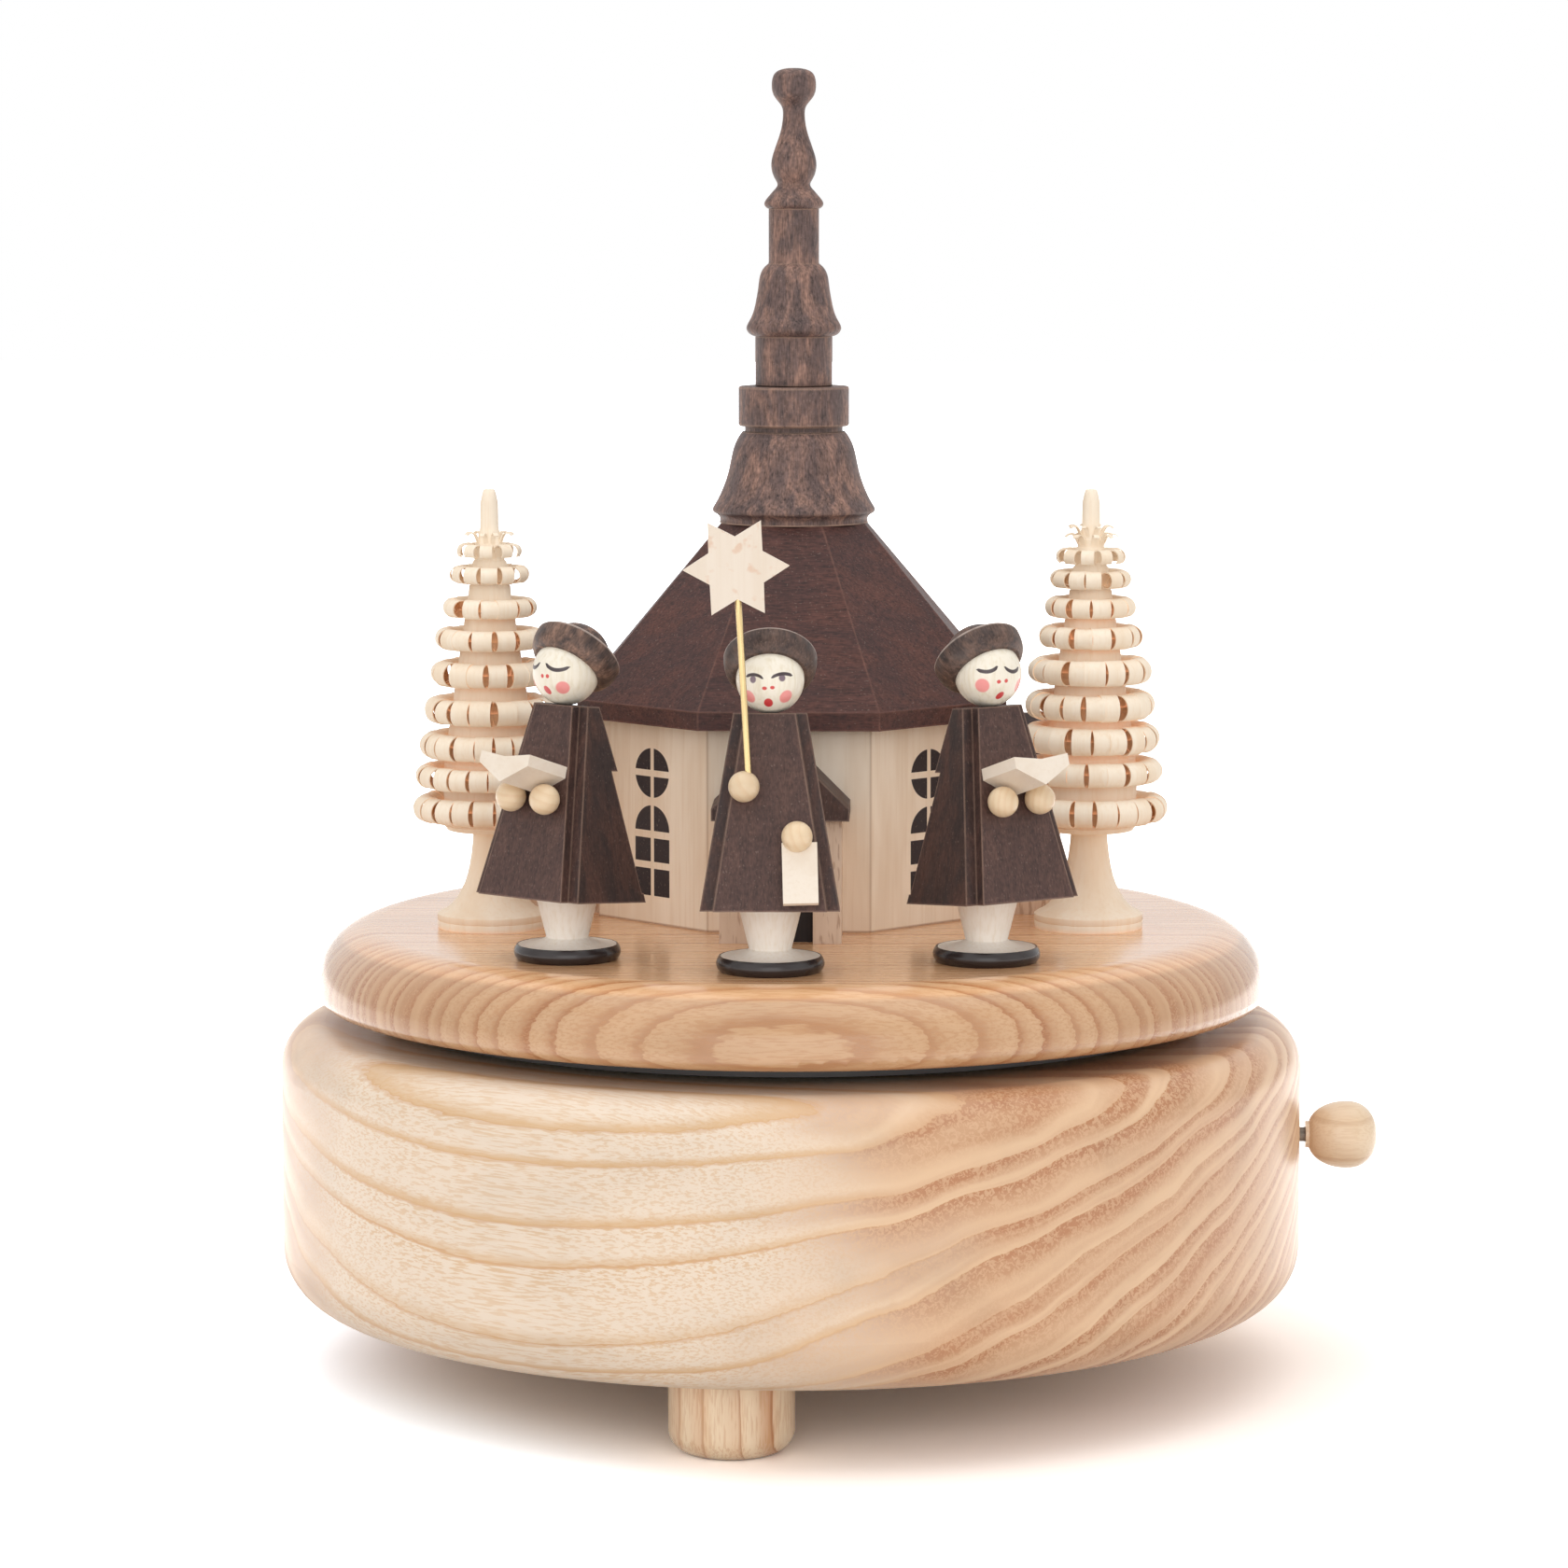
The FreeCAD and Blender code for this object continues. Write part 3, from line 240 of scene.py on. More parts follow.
def raise_by(sheet, shader, height, strength, distance):
    bump = sheet.add("ShaderNodeBump", {"Height": height, "Strength": strength, "Distance": distance})
    sheet.plug(shader.inputs["Normal"], bump.outputs[0])


def closed_in(sheet, open_sky, closed):
    """How deep a place lies in a corner, by the share of open sky within a small reach."""
    sky = sheet.add("ShaderNodeAmbientOcclusion", {"Distance": CORNER_REACH}, samples=4).outputs["AO"]
    return sheet.ease(sky, open_sky, closed)


def make_stage():
    """White studio round the part, and a floor that takes its shadow and fades to white away from it."""
    world = bpy.data.worlds.new("studio")
    bpy.context.scene.world = world
    world.use_nodes = True
    sheet = Sheet(world.node_tree)
    path = sheet.add("ShaderNodeLightPath").outputs
    seen = sheet.plus(path["Is Camera Ray"], path["Is Glossy Ray"])
    seen = sheet.plus(seen, path["Is Transmission Ray"], clamp=True)
    sheet.fill(world.node_tree.nodes["Background"].inputs,
               Color=sheet.blend(seen, (1.0, 0.96, 0.915, 1.0), WHITE),
               Strength=sheet.times_add(seen, 1.0 - AMBIENT, AMBIENT))

    mesh = bpy.data.meshes.new("floor")
    corners = [(x * FLOOR_REACH, y * FLOOR_REACH, 0) for x, y in ((-1, -1), (1, -1), (1, 1), (-1, 1))]
    mesh.from_pydata(corners, [], [(0, 1, 2, 3)])
    floor = in_scene("floor", mesh)
    material, sheet, shader, where = new_material("pale_floor")
    path = sheet.add("ShaderNodeLightPath").outputs
    seen = sheet.plus(path["Is Camera Ray"], path["Is Glossy Ray"], clamp=True)
    far = sheet.vector("LENGTH", where)
    # painted light: for camera rays the floor's shadow is lightened on the left, near the base
    left = sheet.times(sheet.ease(far, *PAINTED_LIGHT_FROM_RADIUS), sheet.ease(sheet.split(where)[0], *PAINTED_LIGHT_FROM_X))
    left = sheet.times(left, path["Is Camera Ray"])
    glow = sheet.times(seen, sheet.ease(far, *GLOW_FROM_RADIUS))
    from_below = sheet.add("ShaderNodeNewGeometry").outputs["Backfacing"]
    hidden = sheet.times(from_below, path["Is Camera Ray"])
    sheet.fill(shader.inputs,
               Base_Color=sheet.blend(seen, FLOOR_LIT, sheet.blend(left, FLOOR_SEEN, FLOOR_PAINTED_LIGHT_LEFT)),
               Roughness=0.9, Specular_IOR_Level=0.0, Emission_Color=sheet.blend(glow, BLACK, WHITE),
               Emission_Strength=1.0, Alpha=sheet.minus(1.0, hidden))
    mesh.materials.append(material)


make_camera()
make_stage()
make_lamp("left_panel", (-0.62, -0.68, 0.48), (0, 0, 0.07), (0.7, 0.9), 0.85)
make_lamp("front_panel", (0.05, -1.15, 0.34), (0, 0, 0.08), (0.9, 0.6), 2.35)
make_lamp("right_panel", (0.85, -0.45, 0.40), (0, 0, 0.07), (0.6, 0.8), 0.45)
make_lamp("overhead_panel", (0.0, -0.15, 0.95), (0, 0, 0.05), (1.0, 0.8), 1.9)
bpy.context.scene.view_settings.view_transform = "Standard"


# Shaved trees

TIERS = {
    # in mm: height and radius of the roll's middle line, outer radius; then the roll's turn in degrees,
    # the number of shavings and the share of the ring that they cover
    "tree_left": (
        (77.9, 1.9, 10.75, 330, 21, 0.85), (82.3, 1.65, 10.3, 330, 20, 0.86),
        (86.5, 1.9, 9.75, 330, 20, 0.84), (91.3, 1.85, 9.2, 330, 18, 0.83), (96.3, 1.75, 8.25, 330, 16, 0.82),
        (101.0, 1.45, 7.6, 325, 15, 0.83), (105.2, 1.35, 6.5, 315, 13, 0.8),
        (109.7, 1.25, 5.5, 270, 12, 0.72), (112.8, 1.15, 4.55, 190, 10, 0.52),
        (114.6, 0.95, 3.85, 105, 9, 0.26),
    ),
    "tree_right": (
        (77.9, 1.9, 10.75, 330, 21, 0.85), (83.1, 1.7, 10.05, 330, 20, 0.86), (87.5, 2.0, 9.6, 330, 20, 0.84),
        (92.0, 1.95, 9.0, 330, 18, 0.83), (96.7, 1.8, 8.5, 330, 17, 0.82), (101.3, 1.55, 7.1, 325, 14, 0.82),
        (105.3, 1.4, 6.2, 315, 13, 0.8), (109.1, 1.3, 5.6, 280, 12, 0.72), (112.1, 1.2, 4.85, 200, 10, 0.54),
        (114.4, 0.95, 4.05, 110, 9, 0.27), (115.6, 0.9, 3.75, 95, 8, 0.19),
    ),
}
RIBBON_THICKNESS = 0.16
ROOT_SHARE = 0.14
ROLL_START = 150
ROLL_SHRINK = 0.24
TURN_BY_SEED = 0.37
SMALLEST, LARGEST = (0.975, 0.84, 0.94), (1.0, 1.14, 1.05)


def trunk_radius(z):
    """Radius of a tree's trunk among the shavings, in mm."""
    return min(6.35, 6.2 - 0.149 * (z - 84.7))


def turned_mesh(name, profile, x, y, steps=96):
    """Turned mesh about a vertical axis from (radius, height) points in mm that start and end on the axis."""
    form = bmesh.new()
    rings = []
    for radius, height in profile:
        if radius < 1e-6:
            rings.append([form.verts.new((x * MM, y * MM, height * MM))])
        else:
            rings.append([form.verts.new(((x + radius * math.cos(2 * math.pi * k / steps)) * MM,
                                          (y + radius * math.sin(2 * math.pi * k / steps)) * MM,
                                          height * MM)) for k in range(steps)])
    for low, high in zip(rings, rings[1:]):
        for k in range(steps):
            corners = [low[k % len(low)], low[(k + 1) % len(low)], high[(k + 1) % len(high)],
                       high[k % len(high)]]
            form.faces.new(list(dict.fromkeys(corners)))
    bmesh.ops.recalc_face_normals(form, faces=form.faces)
    mesh = bpy.data.meshes.new(name)
    form.to_mesh(mesh)
    form.free()
    return mesh


def make_tier_group():
    """One ring of shavings about +Z: each ribbon rises from its foot on the trunk, rolls out, down and in."""
    sheet, given, result = node_group("Geometry", "shaved_tier", dict(
        Roll_Height=0.08, Roll_Radius=0.0016, Outer_Radius=0.01, Turn=5.0, Shavings=20, Cover=0.9,
        Thickness=0.0002, Root_Radius=0.006, Seed=1), dict(Geometry=None))
    path = sheet.form("GeometryNodeCurvePrimitiveLine", Start=(0, 0, 0), End=(1, 0, 0))
    path = sheet.form("GeometryNodeResampleCurve", Curve=path, Count=28)
    along = sheet.form("GeometryNodeSplineParameter")
    rolled = sheet.times_add(along, 1.0 / (1.0 - ROOT_SHARE), -ROOT_SHARE / (1.0 - ROOT_SHARE))
    rolled = sheet.larger(rolled, 0.0)
    turn = sheet.minus(math.radians(ROLL_START), sheet.times(rolled, given["Turn"]))
    roll = sheet.times(given["Roll Radius"], sheet.times_add(rolled, -ROLL_SHRINK, 1.0))
    centre = sheet.minus(given["Outer Radius"], given["Roll Radius"])
    out = sheet.times_add(roll, sheet.math("COSINE", turn), centre)
    up = sheet.times(roll, sheet.math("SINE", turn))
    free = sheet.times(along, 1.0 / ROOT_SHARE, clamp=True)
    root_out = sheet.minus(given["Root Radius"], 0.0003)
    root_up = sheet.times(given["Roll Radius"], -1.1)
    out = sheet.times_add(sheet.minus(out, root_out), free, root_out)
    up = sheet.times_add(sheet.minus(up, root_up), free, root_up)
    path = sheet.form("GeometryNodeSetPosition", Geometry=path, Position=sheet.join(out, 0.0, up))
    path = sheet.form("GeometryNodeSetCurveNormal", dict(mode="FREE"), Curve=path, Normal=(0, 1, 0))
    reach = sheet.split(sheet.form("GeometryNodeInputPosition"))[0]
    touching = sheet.times_add(given["Roll Radius"], -0.9, given["Outer Radius"])
    share = sheet.smaller(sheet.over(reach, touching), 1.0)
    path = sheet.form("GeometryNodeSetCurveRadius", Curve=path, Radius=share)
    pitch = sheet.over(sheet.times(given["Outer Radius"], 2 * math.pi), given["Shavings"])
    ribbon = sheet.form("GeometryNodeCurvePrimitiveQuadrilateral", Width=sheet.times(pitch, given["Cover"]),
                        Height=given["Thickness"])
    side = sheet.split(sheet.form("GeometryNodeInputPosition"))[1]
    ribbon = sheet.form("GeometryNodeStoreNamedAttribute", dict(data_type="FLOAT", domain="POINT"),
                        Geometry=ribbon, Name="inner_face", Value=sheet.math("LESS_THAN", side, 0.0))
    curl = sheet.form("GeometryNodeCurveToMesh", Curve=path, Profile_Curve=ribbon, Fill_Caps=True)
    spots = sheet.form("GeometryNodePoints", Count=given["Shavings"],
                       Position=sheet.join(0.0, 0.0, given["Roll Height"]))
    jitter = sheet.add("FunctionNodeRandomValue", {"Min": -0.15, "Max": 0.15, "Seed": given["Seed"]},
                       data_type="FLOAT").outputs["Value"]
    step = sheet.over(2 * math.pi, given["Shavings"])
    spin = sheet.times(sheet.plus(sheet.form("GeometryNodeInputIndex"), jitter), step)
    spin = sheet.plus(spin, sheet.times(given["Seed"], TURN_BY_SEED))
    sizes = sheet.add("FunctionNodeRandomValue",
                      {0: SMALLEST, 1: LARGEST, "Seed": sheet.plus(given["Seed"], 40.0)},
                      data_type="FLOAT_VECTOR").outputs["Value"]
    placed = sheet.form("GeometryNodeInstanceOnPoints", Points=spots, Instance=curl,
                        Rotation=sheet.join(0.0, 0.0, spin), Scale=sizes)
    sheet.plug(result["Geometry"], sheet.form("GeometryNodeRealizeInstances", Geometry=placed))
    return sheet.tree


def make_tree_group(name, tier_group, wood):
    """The whole tree: the turned trunk that comes in, with every tier of shavings round it."""
    sheet, given, result = node_group("Geometry", "shaved_" + name, dict(
        Trunk=None, Middle=(0, 0, 0), Thickness=0.0002, Seed=1), dict(Geometry=None))
    gathered = sheet.add("GeometryNodeJoinGeometry")
    for k, (height, roll, outer, turn, count, cover) in enumerate(TIERS[name]):
        tier = sheet.add("GeometryNodeGroup", node_tree=tier_group)
        sheet.fill(tier.inputs, Roll_Height=height * MM, Outer_Radius=outer * MM, Roll_Radius=roll * MM,
                   Turn=math.radians(turn), Shavings=count, Cover=cover, Thickness=given["Thickness"],
                   Root_Radius=trunk_radius(height) * MM, Seed=sheet.plus(given["Seed"], float(k)))
        sheet.tree.links.new(tier.outputs[0], gathered.inputs[0])
    moved = sheet.form("GeometryNodeTransform", Geometry=gathered.outputs[0], Translation=given["Middle"])
    whole = sheet.add("GeometryNodeJoinGeometry")
    sheet.tree.links.new(given["Trunk"], whole.inputs[0])
    sheet.tree.links.new(moved, whole.inputs[0])
    whole = sheet.form("GeometryNodeRealizeInstances", Geometry=whole.outputs[0])
    whole = sheet.form("GeometryNodeSetMaterial", Geometry=whole, Material=wood)
    sheet.plug(result["Geometry"], whole)
    return sheet.tree


def set_input(modifier, name, value):
    """Give a Geometry Nodes modifier's input by its name."""
    for item in modifier.node_group.interface.items_tree:
        if item.item_type == "SOCKET" and item.in_out == "INPUT" and item.name == name:
            modifier[item.identifier] = value


def make_trees(wood):
    """Both shaved trees, each one plain mesh in the place of its CAD tree. Profiles in mm: radius, height."""
    foot = [(0, TABLE_TOP), (7.3, TABLE_TOP), (7.36, TABLE_TOP + 0.9), (7.3, TABLE_TOP + 1.0),
            (7.4, TABLE_TOP + 1.15), (7.4, TABLE_TOP + 1.9), (7.0, TABLE_TOP + 2.2), (6.1, 64.25),
            (5.45, 64.8), (4.75, 65.65), (4.2, 66.6), (3.7, 67.6), (3.3, 68.8), (2.98, 70.2), (2.75, 71.6),
            (2.56, 73.2), (2.45, 74.9), (5.6, TREE_SKIRT), (5.95, 75.0), (6.15, 75.3)]
    tip = [(1.25, 116.2), (1.22, TREE_TOP - 1.9), (0.98, TREE_TOP - 0.7), (0.8, TREE_TOP - 0.12),
           (0.65, TREE_TOP), (0, TREE_TOP)]
    tier_group = make_tier_group()
    for number, (node, (x, y)) in enumerate(TREE_PLACES.items()):
        cuts = []
        for height, roll, *_ in TIERS[node]:
            cut_foot = height - 1.2 * roll
            if cuts and cut_foot < cuts[-1][1] + 0.2:
                continue
            cuts += [(trunk_radius(cut_foot) + 0.1, cut_foot),
                     (trunk_radius(cut_foot + 0.3) - 0.12, cut_foot + 0.3)]
        tree_group = make_tree_group(node, tier_group, wood)
        trunk = turned_mesh(node + "_trunk", foot + cuts + tip, x, y)
        raw = in_scene(node + "_raw", trunk)
        shaving = raw.modifiers.new("shavings", "NODES")
        shaving.node_group = tree_group
        set_input(shaving, "Middle", (x * MM, y * MM, 0.0))
        set_input(shaving, "Thickness", RIBBON_THICKNESS * MM)
        set_input(shaving, "Seed", 3 + 20 * number)
        mesh = bpy.data.meshes.new_from_object(raw.evaluated_get(bpy.context.evaluated_depsgraph_get()))
        bpy.data.objects.remove(raw)
        mesh.name = "shaved_" + node
        for face in mesh.polygons:
            face.use_smooth = True
        mesh.set_sharp_from_angle(angle=math.radians(40))
        piece = in_scene("shaved_" + node, mesh)
        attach(piece, "turntable")
        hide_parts(node)


def paint(material, *names):
    """Give CAD nodes, by their names, a finish."""
    for name in names:
        node = NODES[name]
        for place in range(len(node.data.materials)):
            node.data.materials[place] = material


# Patterns that several finishes share

def make_block():
    """Depth of a point in a block of wood across its growth rings, and how far it is in the ends. In mm."""
    sheet, given, result = node_group("Shader", "block_of_wood", dict(
        Where=(0, 0, 0), Middle=(0, 0, 0), Grain=(1, 0, 0), Across=(0, 0, 1), Out=(0, 1, 0), Bend_Across=0.0,
        Bend_Along=0.0, Twist=0.0, Waviness=1.0, Ripple=0.0, Jag=0.35, Ends_From=200.0, Ends_To=300.0),
        dict(Depth=0.0, Along=(0, 0, 0), Ends=0.0))
    here = sheet.vector("SCALE", sheet.vector("SUBTRACT", given["Where"], given["Middle"]), scale=1.0 / MM)
    grain, across, out = [sheet.vector("DOT_PRODUCT", here, given[side])
                          for side in ("Grain", "Across", "Out")]
    depth = sheet.times_add(sheet.times(across, across), given["Bend Across"], out)
    depth = sheet.times_add(sheet.times(grain, grain), given["Bend Along"], depth)
    depth = sheet.times_add(sheet.times(out, across), given["Twist"], depth)
    along = sheet.join(grain, across, out)
    wave = sheet.minus(sheet.grain(along, (0.022, 0.06, 0.06), 1.0), 0.5)
    depth = sheet.times_add(wave, given["Waviness"], depth)
    ends = sheet.size(sheet.times_add(wave, 26.0, grain))
    ends = sheet.ease(ends, given["Ends From"], given["Ends To"])
    ripple = sheet.minus(sheet.grain(along, (0.055, 0.09, 0.09), 2.0, 0.4), 0.5)
    ripple = sheet.times(ripple, sheet.times_add(ends, 0.85, 0.15))
    depth = sheet.times_add(ripple, given["Ripple"], depth)
    jag = sheet.minus(sheet.grain(along, (0.25, 1.8, 1.8), 1.0), 0.5)
    jag = sheet.times(jag, sheet.times_add(ends, -0.5, 1.0))
    depth = sheet.times_add(jag, given["Jag"], depth)
    sheet.fill(result, Depth=depth, Along=along, Ends=ends)
    return sheet.tree


def make_ash_years():
    """Years of ash, each from a sharp line through porous early wood to smooth late wood. Lengths in mm."""
    sheet, given, result = node_group("Shader", "ash_years", dict(
        Years=0.0, Along=(0, 0, 0), Ends=0.0, Pore_Size=1.0, Line_Width=0.1, Uneven=0.0, Pairing=0.0),
        dict(Line=0.0, Early=0.0, Porous=0.0, Late=0.0, Pores=0.0, Bands=0.0, Tone=0.0))
    drift = sheet.add("ShaderNodeTexNoise", {"W": given["Years"], "Scale": 0.45, "Detail": 0.0},
                      noise_dimensions="1D").outputs["Fac"]
    years = sheet.times_add(sheet.minus(drift, 0.5), given["Uneven"], given["Years"])
    pair = sheet.math("COSINE", sheet.times(given["Years"], math.pi))
    years = sheet.times_add(pair, given["Pairing"], years)
    share = sheet.math("FRACT", years)
    luck = sheet.add("ShaderNodeTexWhiteNoise", {"W": sheet.math("FLOOR", years)}, noise_dimensions="1D")
    luck = luck.outputs["Value"]
    past = sheet.over(share, given["Line Width"])
    line = sheet.larger(sheet.ease(past, 1.5, 0.3), sheet.ease(share, 0.96, 1.0))
    line = sheet.times(line, sheet.ease(luck, 0.0, 1.0, 0.5, 1.0))
    early = sheet.times(sheet.ease(share, 0.72, 0.0), sheet.ease(luck, 0.05, 0.95, 0.35, 1.0))
    porous = sheet.math("POWER", early, 0.5)
    late = sheet.times(sheet.ease(share, 0.72, 0.97), sheet.ease(luck, 0.9, 0.1, 0.55, 1.0))
    dashes = sheet.noise(sheet.mapped(given["Along"], (0.26, 3.6, 3.6)), given["Pore Size"], 2.0, 0.6)
    dashes = sheet.times(sheet.ease(dashes, 0.48, 0.60), sheet.times_add(early, 0.4, 0.6))
    worms = sheet.noise(given["Along"], sheet.times(given["Pore Size"], 1.6), 1.0, 0.6, 1.4)
    worms = sheet.ease(worms, 0.45, 0.58)
    worms = sheet.times(worms, sheet.times_add(porous, 0.65, 0.35))
    pores = sheet.add("ShaderNodeMix", {"Factor": given["Ends"], 2: dashes, 3: worms},
                      data_type="FLOAT").outputs[0]
    grain, across = sheet.split(given["Along"])[:2]
    bands = sheet.noise(sheet.join(sheet.times(years, 2.2), sheet.times(grain, 0.03),
                                   sheet.times(across, 0.03)), 1.0, 2.0)
    tone = sheet.grain(given["Along"], (0.03, 0.09, 0.09), 3.0)
    sheet.fill(result, Line=line, Early=early, Porous=porous, Late=late, Pores=pores, Bands=bands, Tone=tone)
    return sheet.tree


def make_stain():
    """Dark stain rubbed over wood: warmer flames, fine grain along Z and pale dust in the pores."""
    sheet, given, result = node_group("Shader", "rubbed_stain", dict(
        Where=(0, 0, 0), Dark=(0.05, 0.04, 0.035, 1), Warm=(0.15, 0.08, 0.05, 1), Warm_Share=0.5,
        Flame_Size=1.0, Grain_Depth=0.6, Dust=0.3), dict(Color=BLACK, Height=0.0, Flame=0.0))
    where = given["Where"]
    wide = sheet.vector("SCALE", where, scale=given["Flame Size"])
    flame = sheet.ease(sheet.grain(wide, (330, 330, 110), 4.0, 0.6, 0.5), 0.36, 0.72)
    fine = sheet.grain(where, (4600, 4600, 700), 1.0)
    streak = sheet.grain(where, (1300, 1300, 60), 2.0)
    rub = sheet.noise(where, 1700.0, 3.0)
    colour = sheet.lay(given["Dark"], given["Warm"], flame, given["Warm Share"])
    height = sheet.times_add(streak, 0.5, fine)
    shade = sheet.minus(sheet.times_add(rub, 0.7, height), 1.1)
    shade = sheet.times_add(shade, sheet.times(given["Grain Depth"], 1.8), 1.0)
    shade = sheet.larger(shade, 0.25)
    shaded = sheet.vector("SCALE", colour, scale=shade)
    dust = sheet.ease(sheet.grain(where, (4400, 4400, 3200), 0.0), 0.72, 0.82)
    dusty = sheet.lay(shaded, tint(172, 150, 140), dust, given["Dust"])
    sheet.fill(result, Color=dusty, Height=height, Flame=flame)
    return sheet.tree


def make_worn_and_highlit_edges():
    """Where an outer edge is rubbed pale and carries a painted highlight, patchy along its length."""
    sheet, given, result = node_group("Shader", "worn_and_highlit_edges", dict(
        Where=(0, 0, 0), Width=0.0004, Flat=0.99, Sharp=0.95, Patchiness=0.5), dict(Mask=0.0))
    round_over = sheet.add("ShaderNodeBevel", {"Radius": given["Width"]}, samples=6).outputs[0]
    straight = sheet.add("ShaderNodeNewGeometry").outputs["Normal"]
    turned = sheet.ease(sheet.vector("DOT_PRODUCT", round_over, straight), given["Flat"], given["Sharp"])
    patches = sheet.ease(sheet.noise(given["Where"], 420.0, 3.0), 0.30, 0.62)
    kept = sheet.times_add(sheet.minus(patches, 1.0), given["Patchiness"], 1.0)
    sheet.plug(result["Mask"], sheet.times(turned, kept))
    return sheet.tree


def make_fine_grain():
    """Plain pale wood: long fine fibres along Z, a few darker, with slow changes of tone."""
    sheet, given, result = node_group("Shader", "fine_grain", dict(Where=(0, 0, 0)),
                                      dict(Fibres=0.0, Tone=0.0, Flecks=0.0))
    where = given["Where"]
    flecks = sheet.ease(sheet.grain(where, (2400, 2400, 380), 1.0), 0.57, 0.68)
    sheet.fill(result, Fibres=sheet.grain(where, (2100, 2100, 75), 3.0),
               Tone=sheet.grain(where, (230, 230, 40), 3.0), Flecks=flecks)
    return sheet.tree


def make_painted_dot():
    """Painted oval on a ball. Sizes in mm from the ball's middle."""
    sheet, given, result = node_group("Shader", "painted_dot", dict(
        Where=(0, 0, 0), Middle=(0, 0, 0), Half_Width=0.5, Half_Height=0.5, Lean=0.0, Soft=0.15),
        dict(Mask=0.0))
    x, y, z = sheet.split(sheet.vector("SUBTRACT", given["Where"], given["Middle"]))
    x = sheet.times_add(z, given["Lean"], x)
    wide = sheet.plus(sheet.times(x, x), sheet.times(y, y))
    wide = sheet.over(wide, sheet.times(given["Half Width"], given["Half Width"]))
    high = sheet.over(z, given["Half Height"])
    reach = sheet.math("SQRT", sheet.times_add(high, high, wide))
    inside = sheet.minus(1.0, given["Soft"])
    outside = sheet.plus(1.0, given["Soft"])
    sheet.plug(result["Mask"], sheet.ease(reach, inside, outside, 1.0, 0.0))
    return sheet.tree


def make_painted_stroke():
    """Painted arc on a face, thick in the middle and thin at its ends. Sizes in mm from the head's middle."""
    sheet, given, result = node_group("Shader", "painted_stroke", dict(
        Where=(0, 0, 0), Start_X=0.0, Start_Z=0.0, End_X=1.0, End_Z=0.0, Sag=0.0, Half_Width=0.15),
        dict(Mask=0.0))
    x, y, z = sheet.split(given["Where"])
    along = sheet.over(sheet.minus(x, given["Start X"]), sheet.minus(given["End X"], given["Start X"]))
    hump = sheet.times(sheet.times(along, sheet.minus(1.0, along)), 4.0)
    line = sheet.times_add(sheet.minus(given["End Z"], given["Start Z"]), along, given["Start Z"])
    line = sheet.times_add(hump, given["Sag"], line)
    off = sheet.size(sheet.minus(z, line))
    width = sheet.times(given["Half Width"], sheet.ease(hump, -0.05, 0.45, 0.0, 1.0))
    inside = sheet.minus(1.0, sheet.over(off, sheet.larger(width, 0.01)))
    edge = sheet.ease(inside, -0.1, 0.25)
    edge = sheet.times(edge, sheet.ease(hump, -0.02, 0.1))
    sheet.plug(result["Mask"], sheet.times(edge, sheet.ease(y, -0.5, -1.0)))
    return sheet.tree


STAIN_RELIEF = (0.3, 0.00006)
BLOCK = make_block()
ASH_YEARS = make_ash_years()
STAIN = make_stain()
WORN_AND_HIGHLIT_EDGES = make_worn_and_highlit_edges()
FINE_GRAIN = make_fine_grain()
PAINTED_DOT = make_painted_dot()
PAINTED_STROKE = make_painted_stroke()


def in_singer(sheet, where, name, height=0.0):
    """Coordinates on a singer, in mm from its axis at the given height: its front towards -Y."""
    x, y, heading = SINGERS[name]
    node = sheet.add("ShaderNodeMapping", {"Vector": where, "Location": (x * MM, y * MM, height * MM),
                                           "Rotation": (0, 0, -math.radians(heading)), "Scale": (MM, MM, MM)},
                     vector_type="TEXTURE")
    return node.outputs[0]


# Finishes

def lacquered_ash(name, colours, years, early_share=0.0, late_share=0.5, line_share=0.7, pore_share=0.4,
                  gloss=0.3, pore_size=1.0, line_width=0.1, uneven=0.0, pairing=0.0, coat=0.5, coat_rough=0.1,
                  painted_light_above=None, **block):
    """Varnished ash. The years, (depth of one ring line, spacing) in mm, run towards smaller depths."""
    pale, late, end_pale, end_brown, line, pore = [tint(*colour) for colour in colours]
    material, sheet, shader, where = new_material(name)
    placed = sheet.group(BLOCK, Where=where, **block)
    first, spacing = years
    count = sheet.times_add(placed["Depth"], -1.0 / spacing, first / spacing + 40.0)
    made = sheet.group(ASH_YEARS, Years=count, Along=placed["Along"], Ends=placed["Ends"],
                       Pore_Size=pore_size, Line_Width=line_width, Uneven=uneven, Pairing=pairing)
    flat = sheet.lay(pale, late, made["Late"], late_share)
    flat = sheet.lay(flat, end_brown, made["Early"], early_share)
    brown = sheet.times_add(sheet.ease(made["Bands"], 0.35, 0.7), 0.45, made["Porous"], clamp=True)
    colour = sheet.blend(placed["Ends"], flat, sheet.blend(brown, end_pale, end_brown))
    less = sheet.times(sheet.times_add(placed["Ends"], -0.75, 1.0), line_share)
    colour = sheet.lay(colour, line, made["Line"], less)
    faint = sheet.times_add(placed["Ends"], -0.15, pore_share)
    colour = sheet.lay(colour, sheet.blend(placed["Ends"], pore, end_pale), made["Pores"], faint)
    deeper = sheet.vector("SCALE", colour, scale=0.88)
    colour = sheet.blend(sheet.ease(made["Tone"], 0.45, 0.8), colour, deeper)
    # painted light: above the given height, on the table's top face, the colour is made lighter
    if painted_light_above:
        painted_lit = sheet.vector("SCALE", colour, scale=1.38)
        height = sheet.split(where)[2]
        colour = sheet.blend(sheet.ease(height, painted_light_above - 0.0008, painted_light_above), colour, painted_lit)
    sheet.fill(shader.inputs, Base_Color=colour, Roughness=sheet.times_add(made["Pores"], 0.12, gloss),
               Specular_IOR_Level=0.3, Coat_Weight=coat, Coat_Roughness=coat_rough)
    raise_by(sheet, shader, sheet.times(made["Pores"], -1.0), 0.1, 0.00004)
    return material


